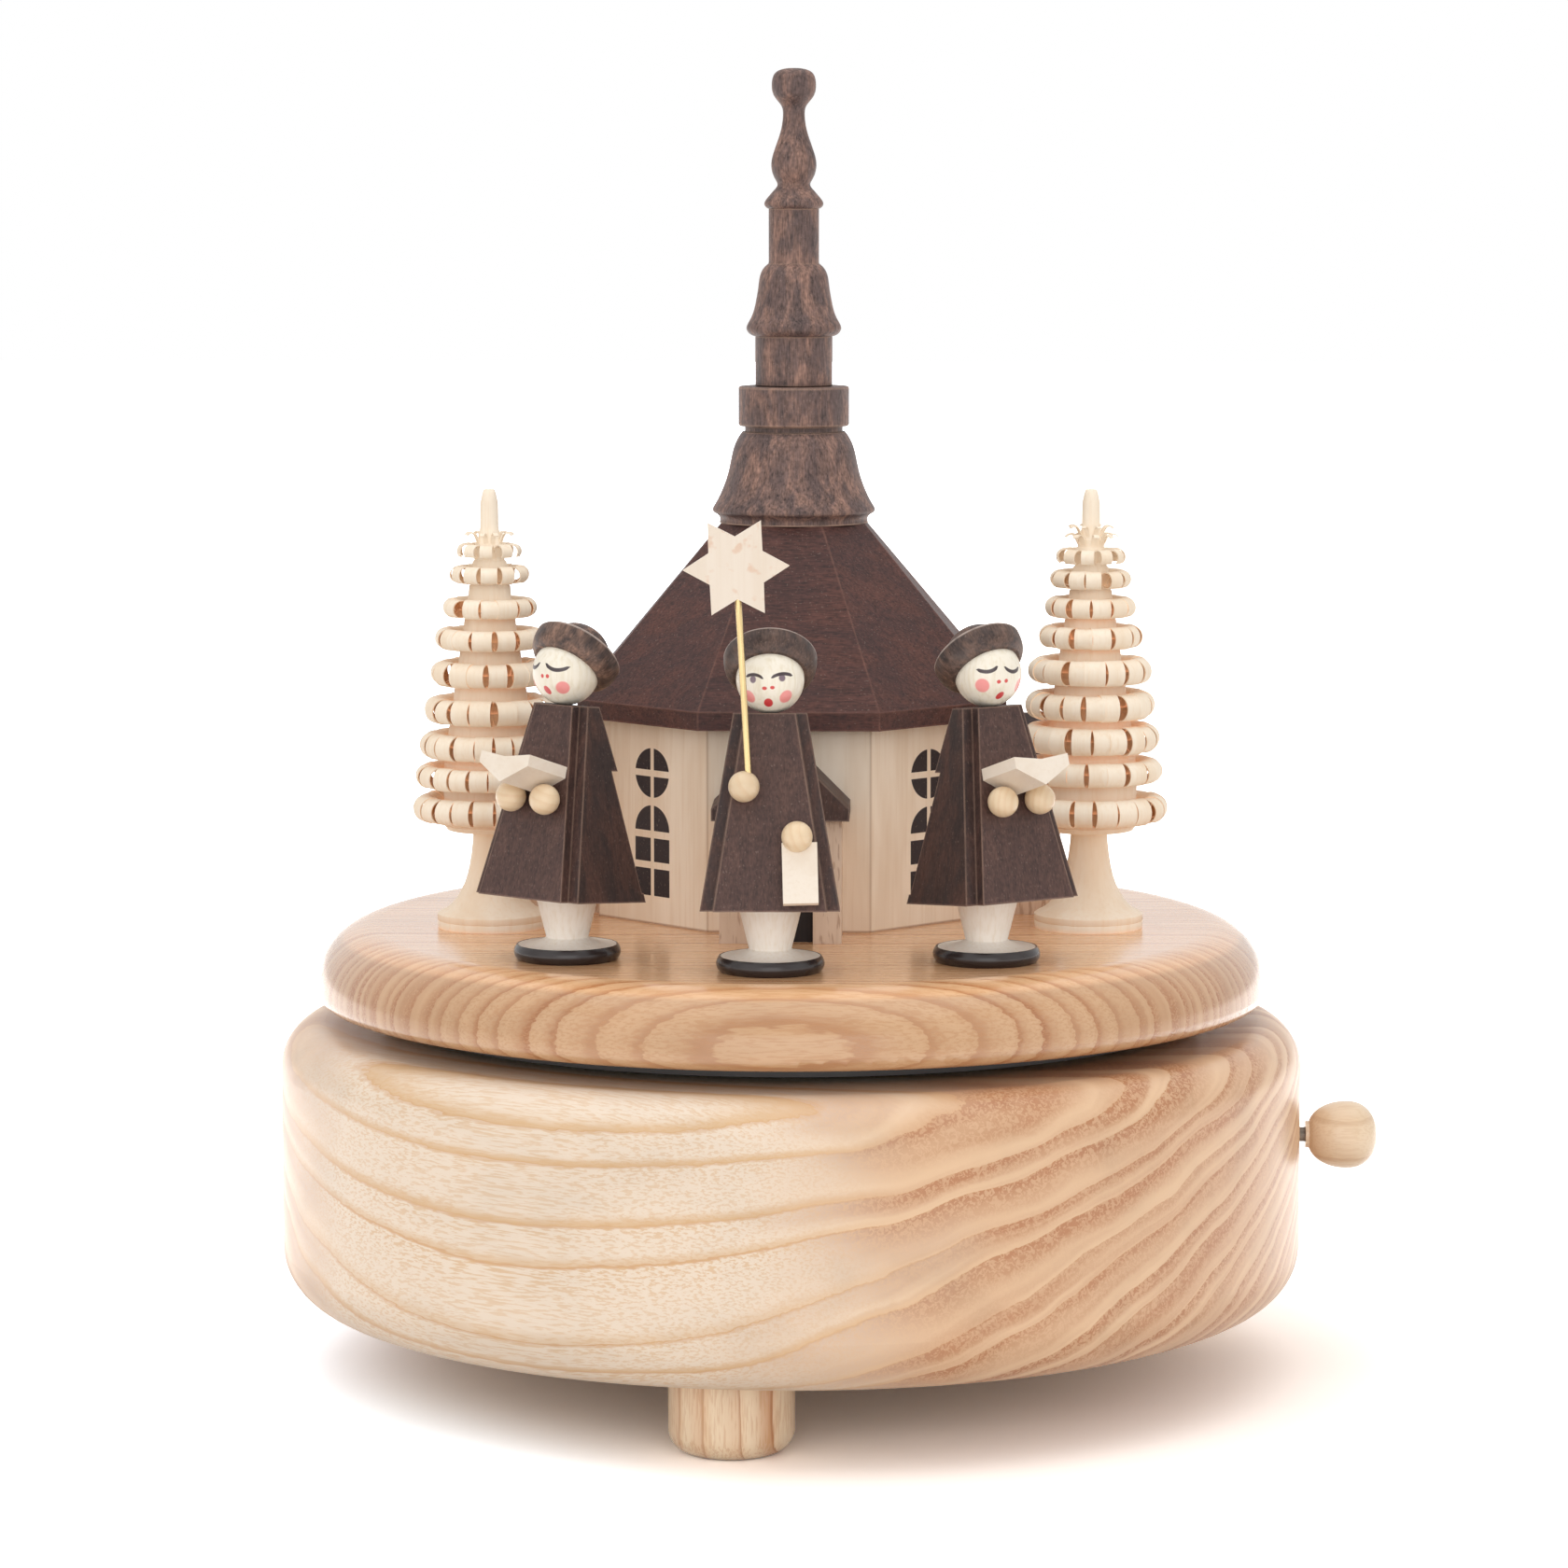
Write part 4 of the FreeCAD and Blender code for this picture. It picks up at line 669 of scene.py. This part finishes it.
def plain_wood(name, pale, dark, fibre_share=0.35, turn=(0, 0, 0), gloss=0.45, fleck=None):
    """Pale unvarnished wood whose fibres run along Z, or along Z turned back by the given angles."""
    pale, dark = tint(*pale), tint(*dark)
    material, sheet, shader, where = new_material(name)
    made = sheet.group(FINE_GRAIN, Where=sheet.mapped(where, turn=turn))
    colour = sheet.lay(pale, dark, sheet.ease(made["Tone"], 0.35, 0.7), 0.55)
    colour = sheet.lay(colour, dark, sheet.ease(made["Fibres"], 0.45, 0.75), fibre_share)
    if fleck:
        colour = sheet.lay(colour, tint(*fleck), made["Flecks"], 0.6)
    sheet.fill(shader.inputs, Base_Color=colour, Roughness=sheet.times_add(made["Fibres"], 0.15, gloss),
               Specular_IOR_Level=0.25)
    raise_by(sheet, shader, made["Fibres"], 0.2, 0.00005)
    return material, sheet, shader, where, colour


def stained_wood(name, dark, warm, warm_share=0.6, flame_size=1.0, turn=(0, 0, 0), flat=0.99, sharp=0.95,
                 edge=(150, 118, 100), edge_share=0.8, patchiness=0.6, grain_depth=0.6):
    """Dark stained wood, rubbed pale and with a painted highlight on its outer edges, and painted shade
    darkening its corners.
    """
    material, sheet, shader, where = new_material(name)
    made = sheet.group(STAIN, Where=sheet.mapped(where, turn=turn), Dark=tint(*dark), Warm=tint(*warm),
                       Warm_Share=warm_share, Flame_Size=flame_size, Grain_Depth=grain_depth, Dust=0.22)
    # pale outer edges: partly rubbed wear, partly a painted highlight
    worn_and_highlit = sheet.group(WORN_AND_HIGHLIT_EDGES, Where=where, Flat=flat, Sharp=sharp, Patchiness=patchiness)["Mask"]
    colour = sheet.lay(made["Color"], tint(*edge), worn_and_highlit, edge_share)
    # painted shade: the colour darkens towards black where the wood lies deep in a corner
    corner = sheet.times(closed_in(sheet, 0.85, 0.3), 0.7)
    colour = sheet.blend(corner, colour, tint(30, 22, 20))
    sheet.fill(shader.inputs, Base_Color=colour, Roughness=sheet.times_add(made["Flame"], 0.1, 0.5),
               Specular_IOR_Level=0.3)
    raise_by(sheet, shader, made["Height"], *STAIN_RELIEF)
    return material


def make_base_finishes():
    paint(lacquered_ash(
        "lacquered_ash_base",
        [(239, 223, 205), (220, 184, 141), (233, 199, 164),
         (187, 132, 95), (208, 156, 104), (219, 180, 134)], (39.3, 3.2),
        late_share=0.9, line_share=0.8, pore_share=0.7, line_width=0.05, uneven=0.2, pairing=-0.13,
        coat=0.15, coat_rough=0.22, Middle=(0, 0, 0.0295), Grain=(0.8631, -0.5050, -0.007),
        Across=(0.4549, 0.7713, 0.4453), Out=(-0.2194, -0.3875, 0.8954), Bend_Across=0.00324,
        Bend_Along=0.0019, Twist=0.00626, Waviness=1.2, Ripple=2.4, Ends_From=30.0, Ends_To=56.0),
        "base_body")
    paint(lacquered_ash(
        "lacquered_ash_table",
        [(209, 169, 130), (194, 148, 106), (205, 165, 126),
         (172, 116, 73), (168, 110, 68), (186, 134, 90)], (62.1, 2.15),
        early_share=0.65, late_share=0.25, line_share=0.75, pore_share=0.65, gloss=0.2, line_width=0.2,
        uneven=1.1, coat=0.6, coat_rough=0.2, painted_light_above=0.0606, Middle=(0, 0, 0.0545), Grain=(1, 0, 0),
        Across=(0, 0, 1), Out=(0.016, -0.991, 0.132), Bend_Across=0.004, Bend_Along=0.0002, Waviness=2.2,
        Ripple=0.8, Jag=0.6, Ends_From=40.0, Ends_To=60.0), "turntable")
    paint(lacquered_ash(
        "lacquered_ash_feet",
        [(250, 228, 198), (230, 190, 148), (236, 205, 165),
         (202, 142, 96), (184, 122, 78), (210, 160, 114)], (2.0, 4.3),
        early_share=0.8, line_share=0.9, pore_share=0.6, gloss=0.4, line_width=0.06, uneven=1.0,
        Middle=(-0.012, -0.03, 0), Grain=(0, 0, 1), Across=(0, 1, 0), Out=(1, 0, 0), Bend_Across=0.004,
        Waviness=1.0), "feet")
    paint(lacquered_ash(
        "turned_ash_knob",
        [(240, 217, 188), (226, 196, 160), (222, 196, 158),
         (208, 170, 130), (204, 166, 128), (216, 182, 142)], (4.0, 5.2),
        line_share=0.5, pore_share=0.35, gloss=0.4, Middle=(0.075, 0, 0.010), Grain=(1, 0, 0),
        Across=(0, 1, 0), Out=(0, 0, 1), Bend_Across=0.03, Waviness=0.8), "stop_knob")


def make_church_finishes():
    """Church, with the windows printed on its diagonal and rear walls. Lengths in mm from its axis."""
    material, sheet, shader, where, colour = plain_wood(
        "maple_wall", (255, 242, 224), (232, 210, 184), 0.4, gloss=0.55)
    x, y, z = sheet.split(sheet.mapped(where, (1000, 1000, 1000), place=(0, -CHURCH_Y, 0)))
    side_x = sheet.size(x)
    side_y = sheet.size(y)
    out = sheet.times(sheet.plus(side_x, side_y), math.sqrt(0.5))
    sideways = sheet.times(sheet.minus(side_y, side_x), math.sqrt(0.5))
    diagonal = sheet.times(sheet.ease(out, WALL_FROM, WALL_FROM + 0.3),
                           sheet.math("LESS_THAN", sheet.size(sideways), WALL_HALF))
    rear = sheet.times(sheet.math("GREATER_THAN", y, WALL_FROM), sheet.math("LESS_THAN", side_x, WALL_HALF))
    sideways = sheet.plus(sheet.times(sideways, diagonal), sheet.times(x, rear))
    walls = sheet.larger(diagonal, rear)
    panes = sheet.times(printed_windows(sheet, sideways, z), walls)
    specks = sheet.ease(sheet.noise(where, 3600.0, 1.0), 0.64, 0.74)
    ink = sheet.lay(tint(54, 46, 48), tint(140, 126, 116), specks, 0.35)
    colour = sheet.blend(panes, colour, ink)
    low, high = sheet.smaller(side_x, side_y), sheet.larger(side_x, side_y)
    second = sheet.larger(low, sheet.smaller(high, out))
    joint = sheet.times(sheet.ease(second, 26.5, 26.66), sheet.ease(z, EAVES, EAVES - 0.1))
    colour = sheet.lay(colour, tint(176, 146, 120), joint, 0.45)
    # a darker brown band along the walls' foot, where they meet the table
    foot = sheet.ease(z, TABLE_TOP + 0.4, TABLE_TOP + 0.1)
    colour = sheet.lay(colour, tint(160, 112, 76), foot, 0.7)
    sheet.plug(shader.inputs["Base Color"], colour)
    paint(material, "church_walls")

    paint(plain_wood("limewood_porch", (232, 210, 190), (208, 180, 156), 0.5, gloss=0.55,
                     fleck=(176, 140, 116))[0], "front_porch", "side_porches")
    paint(plain_wood("eave_board", (222, 198, 168), (198, 168, 134), 0.4, (0, math.pi / 2, 0))[0],
          "soffit_board")
    paint(plain_wood("dark_door", (46, 38, 38), (30, 26, 26), 0.4)[0], "porch_doors")
    paint(stained_wood("stained_roof", (67, 41, 38), (90, 57, 50), 0.8, 0.7, (0, math.pi / 2, 0), flat=0.9985,
                       sharp=0.985, edge=(136, 96, 84), edge_share=0.5, patchiness=0.6, grain_depth=0.9),
          "roof_panels")
    paint(stained_wood("stained_porch_roof", (66, 52, 50), (104, 72, 58), 0.4, edge=(150, 130, 118),
                       edge_share=0.7), "front_porch_roof", "side_porch_roofs")
    paint(stained_wood("stained_spire", (90, 74, 72), (152, 119, 106), 0.8, 1.6, grain_depth=1.0,
                       edge=(172, 142, 124), edge_share=0.8, patchiness=0.3), "spire_bell", "spire_collar",
          "spire_tower", "spire_finial")


# Printed windows, in mm: the oval one, the arched one under it, and the bars left free between their panes
OVAL_Z, OVAL_RADIUS = 82.4, 3.4
ARCH_SILL, ARCH_Z, ARCH_RADIUS = 65.5, 74.5, 3.45
OVAL_BARS = ((81.9, 82.8),)
ARCH_BARS = ((73.45, 74.45), (69.25, 70.2))
MIDDLE_BAR = (0.30, 0.36)
WALL_FROM, WALL_HALF = 26.0, 6.0


def printed_windows(sheet, across, z):
    """Dark panes of the oval window over the arched one, with the bars left out. Sizes in mm."""
    def disc(middle, radius):
        reach = sheet.length(sheet.over(across, radius), sheet.over(sheet.minus(z, middle), radius))
        return sheet.ease(reach, 1.012, 0.988)

    def between(value, low, high):
        return sheet.times(sheet.ease(value, low - 0.03, low + 0.03),
                           sheet.ease(value, high + 0.03, high - 0.03))

    def barred(panes, bars):
        for low, high in bars:
            panes = sheet.times(panes, sheet.minus(1.0, between(z, low, high)))
        return panes

    half = sheet.size(across)
    upper = barred(disc(OVAL_Z, OVAL_RADIUS), OVAL_BARS)
    lower = sheet.times(sheet.ease(half, ARCH_RADIUS + 0.03, ARCH_RADIUS - 0.03),
                        between(z, ARCH_SILL, ARCH_Z))
    arch = sheet.times(disc(ARCH_Z, ARCH_RADIUS), sheet.ease(z, ARCH_Z - 0.2, ARCH_Z - 0.1))
    lower = barred(sheet.larger(lower, arch), ARCH_BARS)
    return sheet.times(sheet.larger(upper, lower), sheet.ease(half, *MIDDLE_BAR))


FACES = {
    # in mm, seen from the front. Ovals: x, z, half width, half height and, for a mouth, lean.
    # Strokes: start, end, sag, half width.
    "left": {
        "cheeks": [(2.36, -1.76, 0.92, 0.92), (-2.80, -1.76, 0.92, 0.92)],
        "nose": [(-0.18, -0.26, 0.26, 0.27), (0.66, -0.25, 0.26, 0.27)],
        "mouth": (0.21, -2.17, 0.50, 0.78, 0.22), "iris": [],
        "strokes": [((-3.30, 1.10), (-0.74, 1.46), -0.60, 0.27), ((0.14, 1.44), (3.30, 1.02), -0.62, 0.27)],
    },
    "centre": {
        "cheeks": [(2.05, -1.92, 0.88, 0.94), (-2.68, -1.95, 0.90, 0.92)],
        "nose": [(-0.70, -0.74, 0.32, 0.23), (0.31, -0.64, 0.30, 0.23)],
        "mouth": (-0.20, -2.72, 0.57, 0.98, 0.0),
        "iris": [(1.56, 0.58, 0.44, 0.46), (-2.18, 0.36, 0.44, 0.48)],
        "strokes": [((-3.1, 0.62), (-0.80, 0.46), 0.42, 0.22), ((0.08, 0.56), (2.92, 0.76), 0.42, 0.23)],
    },
    "right": {
        "cheeks": [(-3.02, -1.22, 0.94, 0.94), (2.50, -1.42, 0.94, 0.94)],
        "nose": [(-1.24, -0.70, 0.28, 0.26), (-0.21, -0.62, 0.26, 0.27)],
        "mouth": (-0.60, -2.62, 0.50, 0.84, -0.30), "iris": [],
        "strokes": [((-3.62, 0.88), (-1.26, 1.32), -0.46, 0.27), ((-0.52, 1.24), (2.3, 1.0), -0.62, 0.27)],
    },
}
HEAD_BALL = 4.38
BRIM_RADIUS, BRIM_Z = 5.93, 3.6
STAND_RADIUS, STAND_TOP = 6.38, 63.9
HAT_TILT = {"left": 44.0, "centre": 47.0, "right": 44.0}
HAT_WARMTH = {"left": 0.9, "centre": 0.3, "right": 0.45}


def make_face(name):
    """Cream head with painted cheeks, eyes, nostrils and mouth. Lengths in mm from the head's middle."""
    material, sheet, shader, where = new_material("painted_face_" + name)
    spot = in_singer(sheet, where, name, HEAD_Z)
    made = sheet.group(FINE_GRAIN, Where=where)
    colour = sheet.blend(sheet.ease(made["Fibres"], 0.4, 0.8), tint(247, 241, 227), tint(233, 224, 202))

    def dot(colour, x, z, half_width, half_height, paint_colour, lean=0.0, soft=0.14, share=1.0):
        middle = (x, -math.sqrt(HEAD_BALL ** 2 - x * x - z * z), z)
        mask = sheet.group(PAINTED_DOT, Where=spot, Middle=middle, Half_Width=half_width,
                           Half_Height=half_height, Lean=lean, Soft=soft)["Mask"]
        return sheet.lay(colour, paint_colour, mask, share)

    marks = FACES[name]
    for cheek in marks["cheeks"]:
        colour = dot(colour, *cheek, tint(240, 138, 138), soft=0.12, share=0.92)
    for iris in marks["iris"]:
        colour = dot(colour, *iris, tint(122, 104, 116), soft=0.2)
    for nostril in marks["nose"]:
        colour = dot(colour, *nostril, tint(206, 56, 52), soft=0.22)
    x, z, half_width, half_height, lean = marks["mouth"]
    colour = dot(colour, x, z, half_width, half_height, tint(206, 54, 58), lean, 0.1)
    for (x, z), (end_x, end_z), sag, half_width in marks["strokes"]:
        mask = sheet.group(PAINTED_STROKE, Where=spot, Start_X=x, Start_Z=z, End_X=end_x, End_Z=end_z,
                           Sag=sag, Half_Width=half_width)["Mask"]
        colour = sheet.blend(mask, colour, tint(54, 38, 42))
    sheet.fill(shader.inputs, Base_Color=colour, Roughness=0.35, Coat_Weight=0.3)
    raise_by(sheet, shader, made["Fibres"], 0.08, 0.00004)
    return material


# Coat, in mm: its hem and height; then half the front panel's width and the coat's depth, at hem and top
COAT_HEM, COAT_HEIGHT = 70.5, 24.7
PANEL_HALF = (7.25, 3.25)
COAT_DEPTH = (9.2, 2.4)


def tapered(sheet, z, at_hem, at_top):
    """A measure of the coat that changes evenly from its hem to its top."""
    return sheet.times_add(z, -(at_hem - at_top) / COAT_HEIGHT,
                           at_hem + COAT_HEM * (at_hem - at_top) / COAT_HEIGHT)


def make_coat(name):
    """Stained coat: greyer front panel, redder sides, pale edges that are rubbed and carry a painted
    highlight.
    """
    material, sheet, shader, where = new_material("stained_coat_" + name)
    spot = in_singer(sheet, where, name)
    local = sheet.mapped(spot, (MM, MM, MM))
    front = sheet.group(STAIN, Where=local, Dark=tint(71, 51, 47), Warm=tint(96, 72, 65),
                        Warm_Share=0.55, Grain_Depth=0.7, Dust=0.2)
    side = sheet.group(STAIN, Where=local, Dark=tint(52, 39, 37), Warm=tint(86, 60, 52), Warm_Share=0.7,
                       Grain_Depth=0.6, Dust=0.15)
    x, y, z = sheet.split(spot)
    within = sheet.math("LESS_THAN", sheet.size(x), sheet.plus(tapered(sheet, z, *PANEL_HALF), 0.02))
    before = sheet.math("LESS_THAN", y, sheet.minus(0.1, tapered(sheet, z, *COAT_DEPTH)))
    colour = sheet.lay(side["Color"], front["Color"], within, before)
    # pale outer edges: partly rubbed wear, partly a painted highlight
    worn_and_highlit = sheet.group(WORN_AND_HIGHLIT_EDGES, Where=where, Patchiness=0.35)["Mask"]
    colour = sheet.lay(colour, tint(146, 120, 106), worn_and_highlit, 0.75)
    sheet.fill(shader.inputs, Base_Color=colour, Roughness=sheet.times_add(side["Flame"], 0.1, 0.5),
               Specular_IOR_Level=0.3)
    raise_by(sheet, shader, side["Height"], *STAIN_RELIEF)
    return material


def make_hat(name):
    """Stained hat with the upper edge of its brim rubbed pale and given a painted highlight. Lengths in mm
    from the head's middle.
    """
    material, sheet, shader, where = new_material("stained_hat_" + name)
    spot = sheet.mapped(in_singer(sheet, where, name, HEAD_Z), turn=(math.radians(HAT_TILT[name]), 0, 0))
    made = sheet.group(STAIN, Where=sheet.mapped(spot, (MM, MM, MM)), Dark=tint(64, 51, 48),
                       Warm=tint(140, 110, 95), Warm_Share=HAT_WARMTH[name], Flame_Size=2.0, Grain_Depth=0.8,
                       Dust=0.2)
    x, y, z = sheet.split(spot)
    off_edge = sheet.larger(sheet.size(sheet.minus(sheet.length(x, y), BRIM_RADIUS)),
                            sheet.size(sheet.minus(z, BRIM_Z)))
    patches = sheet.ease(sheet.noise(spot, 0.5, 2.0), 0.3, 0.55, 0.5, 1.0)
    # the brim's upper edge: partly rubbed pale, partly a painted highlight
    rubbed = sheet.times(sheet.ease(off_edge, 0.34, 0.14), patches)
    smear = sheet.times(sheet.ease(sheet.noise(sheet.mapped(spot, place=(0, 0, 7)), 0.35, 3.0), 0.5, 0.75),
                        0.35)
    colour = sheet.blend(smear, made["Color"], tint(136, 118, 110))
    colour = sheet.lay(colour, tint(186, 170, 162), rubbed, 0.85)
    sheet.fill(shader.inputs, Base_Color=colour, Roughness=sheet.times_add(made["Flame"], 0.1, 0.45),
               Specular_IOR_Level=0.35)
    raise_by(sheet, shader, made["Height"], *STAIN_RELIEF)
    return material


def make_stand(name):
    """Cream paint with a glossy black rim round the foot."""
    material, sheet, shader, where = new_material("painted_stand_" + name)
    x, y, z = sheet.split(in_singer(sheet, where, name))
    brush = sheet.times_add(sheet.noise(where, 500.0, 1.0), 0.3, -0.15)
    reach = sheet.plus(sheet.length(x, y), brush)
    rim = sheet.times(sheet.ease(reach, STAND_RADIUS, STAND_RADIUS + 0.08),
                      sheet.ease(z, STAND_TOP, STAND_TOP - 0.1))
    made = sheet.group(FINE_GRAIN, Where=where)
    cream = sheet.blend(sheet.ease(made["Fibres"], 0.4, 0.8), tint(254, 247, 238), tint(243, 232, 217))
    sheet.fill(shader.inputs, Base_Color=sheet.blend(rim, cream, tint(42, 34, 34)),
               Roughness=sheet.times_add(rim, -0.2, 0.45))
    raise_by(sheet, shader, made["Fibres"], 0.1, 0.00004)
    return material


def make_singer_finishes():
    makers = {"head_": make_face, "coat_": make_coat, "hat_": make_hat, "stand_": make_stand}
    for name in SINGERS:
        for part, make in makers.items():
            paint(make(name), part + name)
    paint(lacquered_ash(
        "birch_hands",
        [(236, 213, 180), (222, 188, 146), (236, 213, 180),
         (226, 186, 138), (216, 172, 126), (234, 204, 164)], (0.3, 1.15),
        line_share=0.25, late_share=0.35, pore_share=0.35, gloss=0.45, pore_size=1.6, line_width=0.3,
        Middle=(0, -0.055, 0.09), Grain=(0.7, 0.3, 0.65), Across=(-0.7, 0.2, 0.68), Out=(0.8, -0.3, 0.52),
        Bend_Across=0.02, Waviness=2.5, Jag=0.2), "hands")
    paint(plain_wood("birch_books", (243, 233, 220), (231, 216, 198), 0.35, (math.pi / 2, 0, 0.2))[0],
          "open_songbooks", "closed_songbook")
    material, sheet, shader, where, colour = plain_wood("birch_star", (242, 231, 218), (232, 217, 199), 0.3)
    spots = sheet.ease(sheet.noise(where, 620.0, 2.0), 0.55, 0.72)
    sheet.plug(shader.inputs["Base Color"], sheet.lay(colour, tint(226, 190, 164), spots, 0.6))
    paint(material, "star")


def metal(name, colour, rough, streak=0.12, scale=(900, 900, 120), metallic=1.0):
    """Metal with fine marks; with metallic 0 it is a plain moulded material."""
    colour = tint(*colour)
    material, sheet, shader, where = new_material(name)
    marks = sheet.grain(where, scale, 3.0)
    darker = tuple(part * 0.7 for part in colour[:3]) + (1.0,)
    sheet.fill(shader.inputs, Base_Color=sheet.blend(sheet.ease(marks, 0.45, 0.8), colour, darker),
               Roughness=sheet.times_add(marks, streak, rough), Metallic=metallic)
    raise_by(sheet, shader, marks, 0.15, 0.00003)
    return material


def make_movement_finishes():
    paint(metal("brass_rod", (186, 166, 122), 0.22, scale=(2600, 2600, 120)), "star_pole")
    paint(metal("cut_brass", (214, 178, 104), 0.28), "pinned_cylinder", "cylinder_gears", "governor_wheel",
          "barrel_drum", "barrel_crown", "deck_bush", "stop_bush")
    paint(metal("bright_steel", (190, 190, 192), 0.25), "comb", "comb_screws", "bedplate_screws",
          "bottom_screws", "hub_screws", "clutch_spring", "winding_arbor", "winding_key", "cylinder_arbor",
          "mainspring", "output_shaft", "governor_frame")
    paint(metal("dull_rod", (128, 118, 108), 0.45, scale=(120, 2600, 2600)), "stop_rod")
    paint(metal("cast_iron", (118, 118, 120), 0.6, 0.2, (2600, 2600, 2600), 0.8), "bedplate")
    paint(metal("moulded_fan", (206, 202, 190), 0.4, 0.1, (1400, 1400, 1400), 0.0), "worm_fan")
    paint(metal("black_rubber", (36, 35, 34), 0.7, 0.15, (4000, 4000, 4000), 0.0), "stop_pad")
    paint(metal("black_disc", (24, 23, 24), 0.3, 0.1, (300, 300, 300), 0.0), "drive_disc")
    paint(plain_wood("bottom_board", (196, 160, 118), (160, 122, 84), 0.5, (0, math.pi / 2, 0))[0],
          "bottom_board")


def make_tree_wood():
    """Lime shavings: fine fibres, a painted warm glow of light through the thin rolls on their inner faces,
    and painted warm shade with a glow by emission in the corners between the tiers.
    """
    material, sheet, shader, where, colour = plain_wood("shaved_lime", (252, 240, 222), (240, 218, 190), 0.4,
                                                        gloss=0.5)
    low = sheet.ease(sheet.split(where)[2], 0.1140, 0.1050)
    inside = sheet.add("ShaderNodeAttribute", attribute_name="inner_face").outputs["Fac"]
    inside = sheet.times(inside, low)
    corner = sheet.times(closed_in(sheet, 0.8, 0.1), low)
    # painted light: a warm tint on the rolls' inner faces below the tip, for light shining through the thin
    # wood
    colour = sheet.lay(colour, tint(248, 206, 156), inside, 0.75)
    # painted warm shade in the corners between the tiers
    colour = sheet.lay(colour, tint(242, 196, 150), corner, 0.55)
    # painted light: the corners glow by emission, most on the inner faces, though no lamp is there
    deep = sheet.times(corner, sheet.times_add(inside, 0.6, 0.4))
    sheet.fill(shader.inputs, Base_Color=colour, Emission_Strength=1.0,
               Emission_Color=sheet.blend(deep, BLACK, (0.44, 0.23, 0.14, 1)))
    return material


make_base_finishes()
make_church_finishes()
make_singer_finishes()
make_movement_finishes()
make_trees(make_tree_wood())
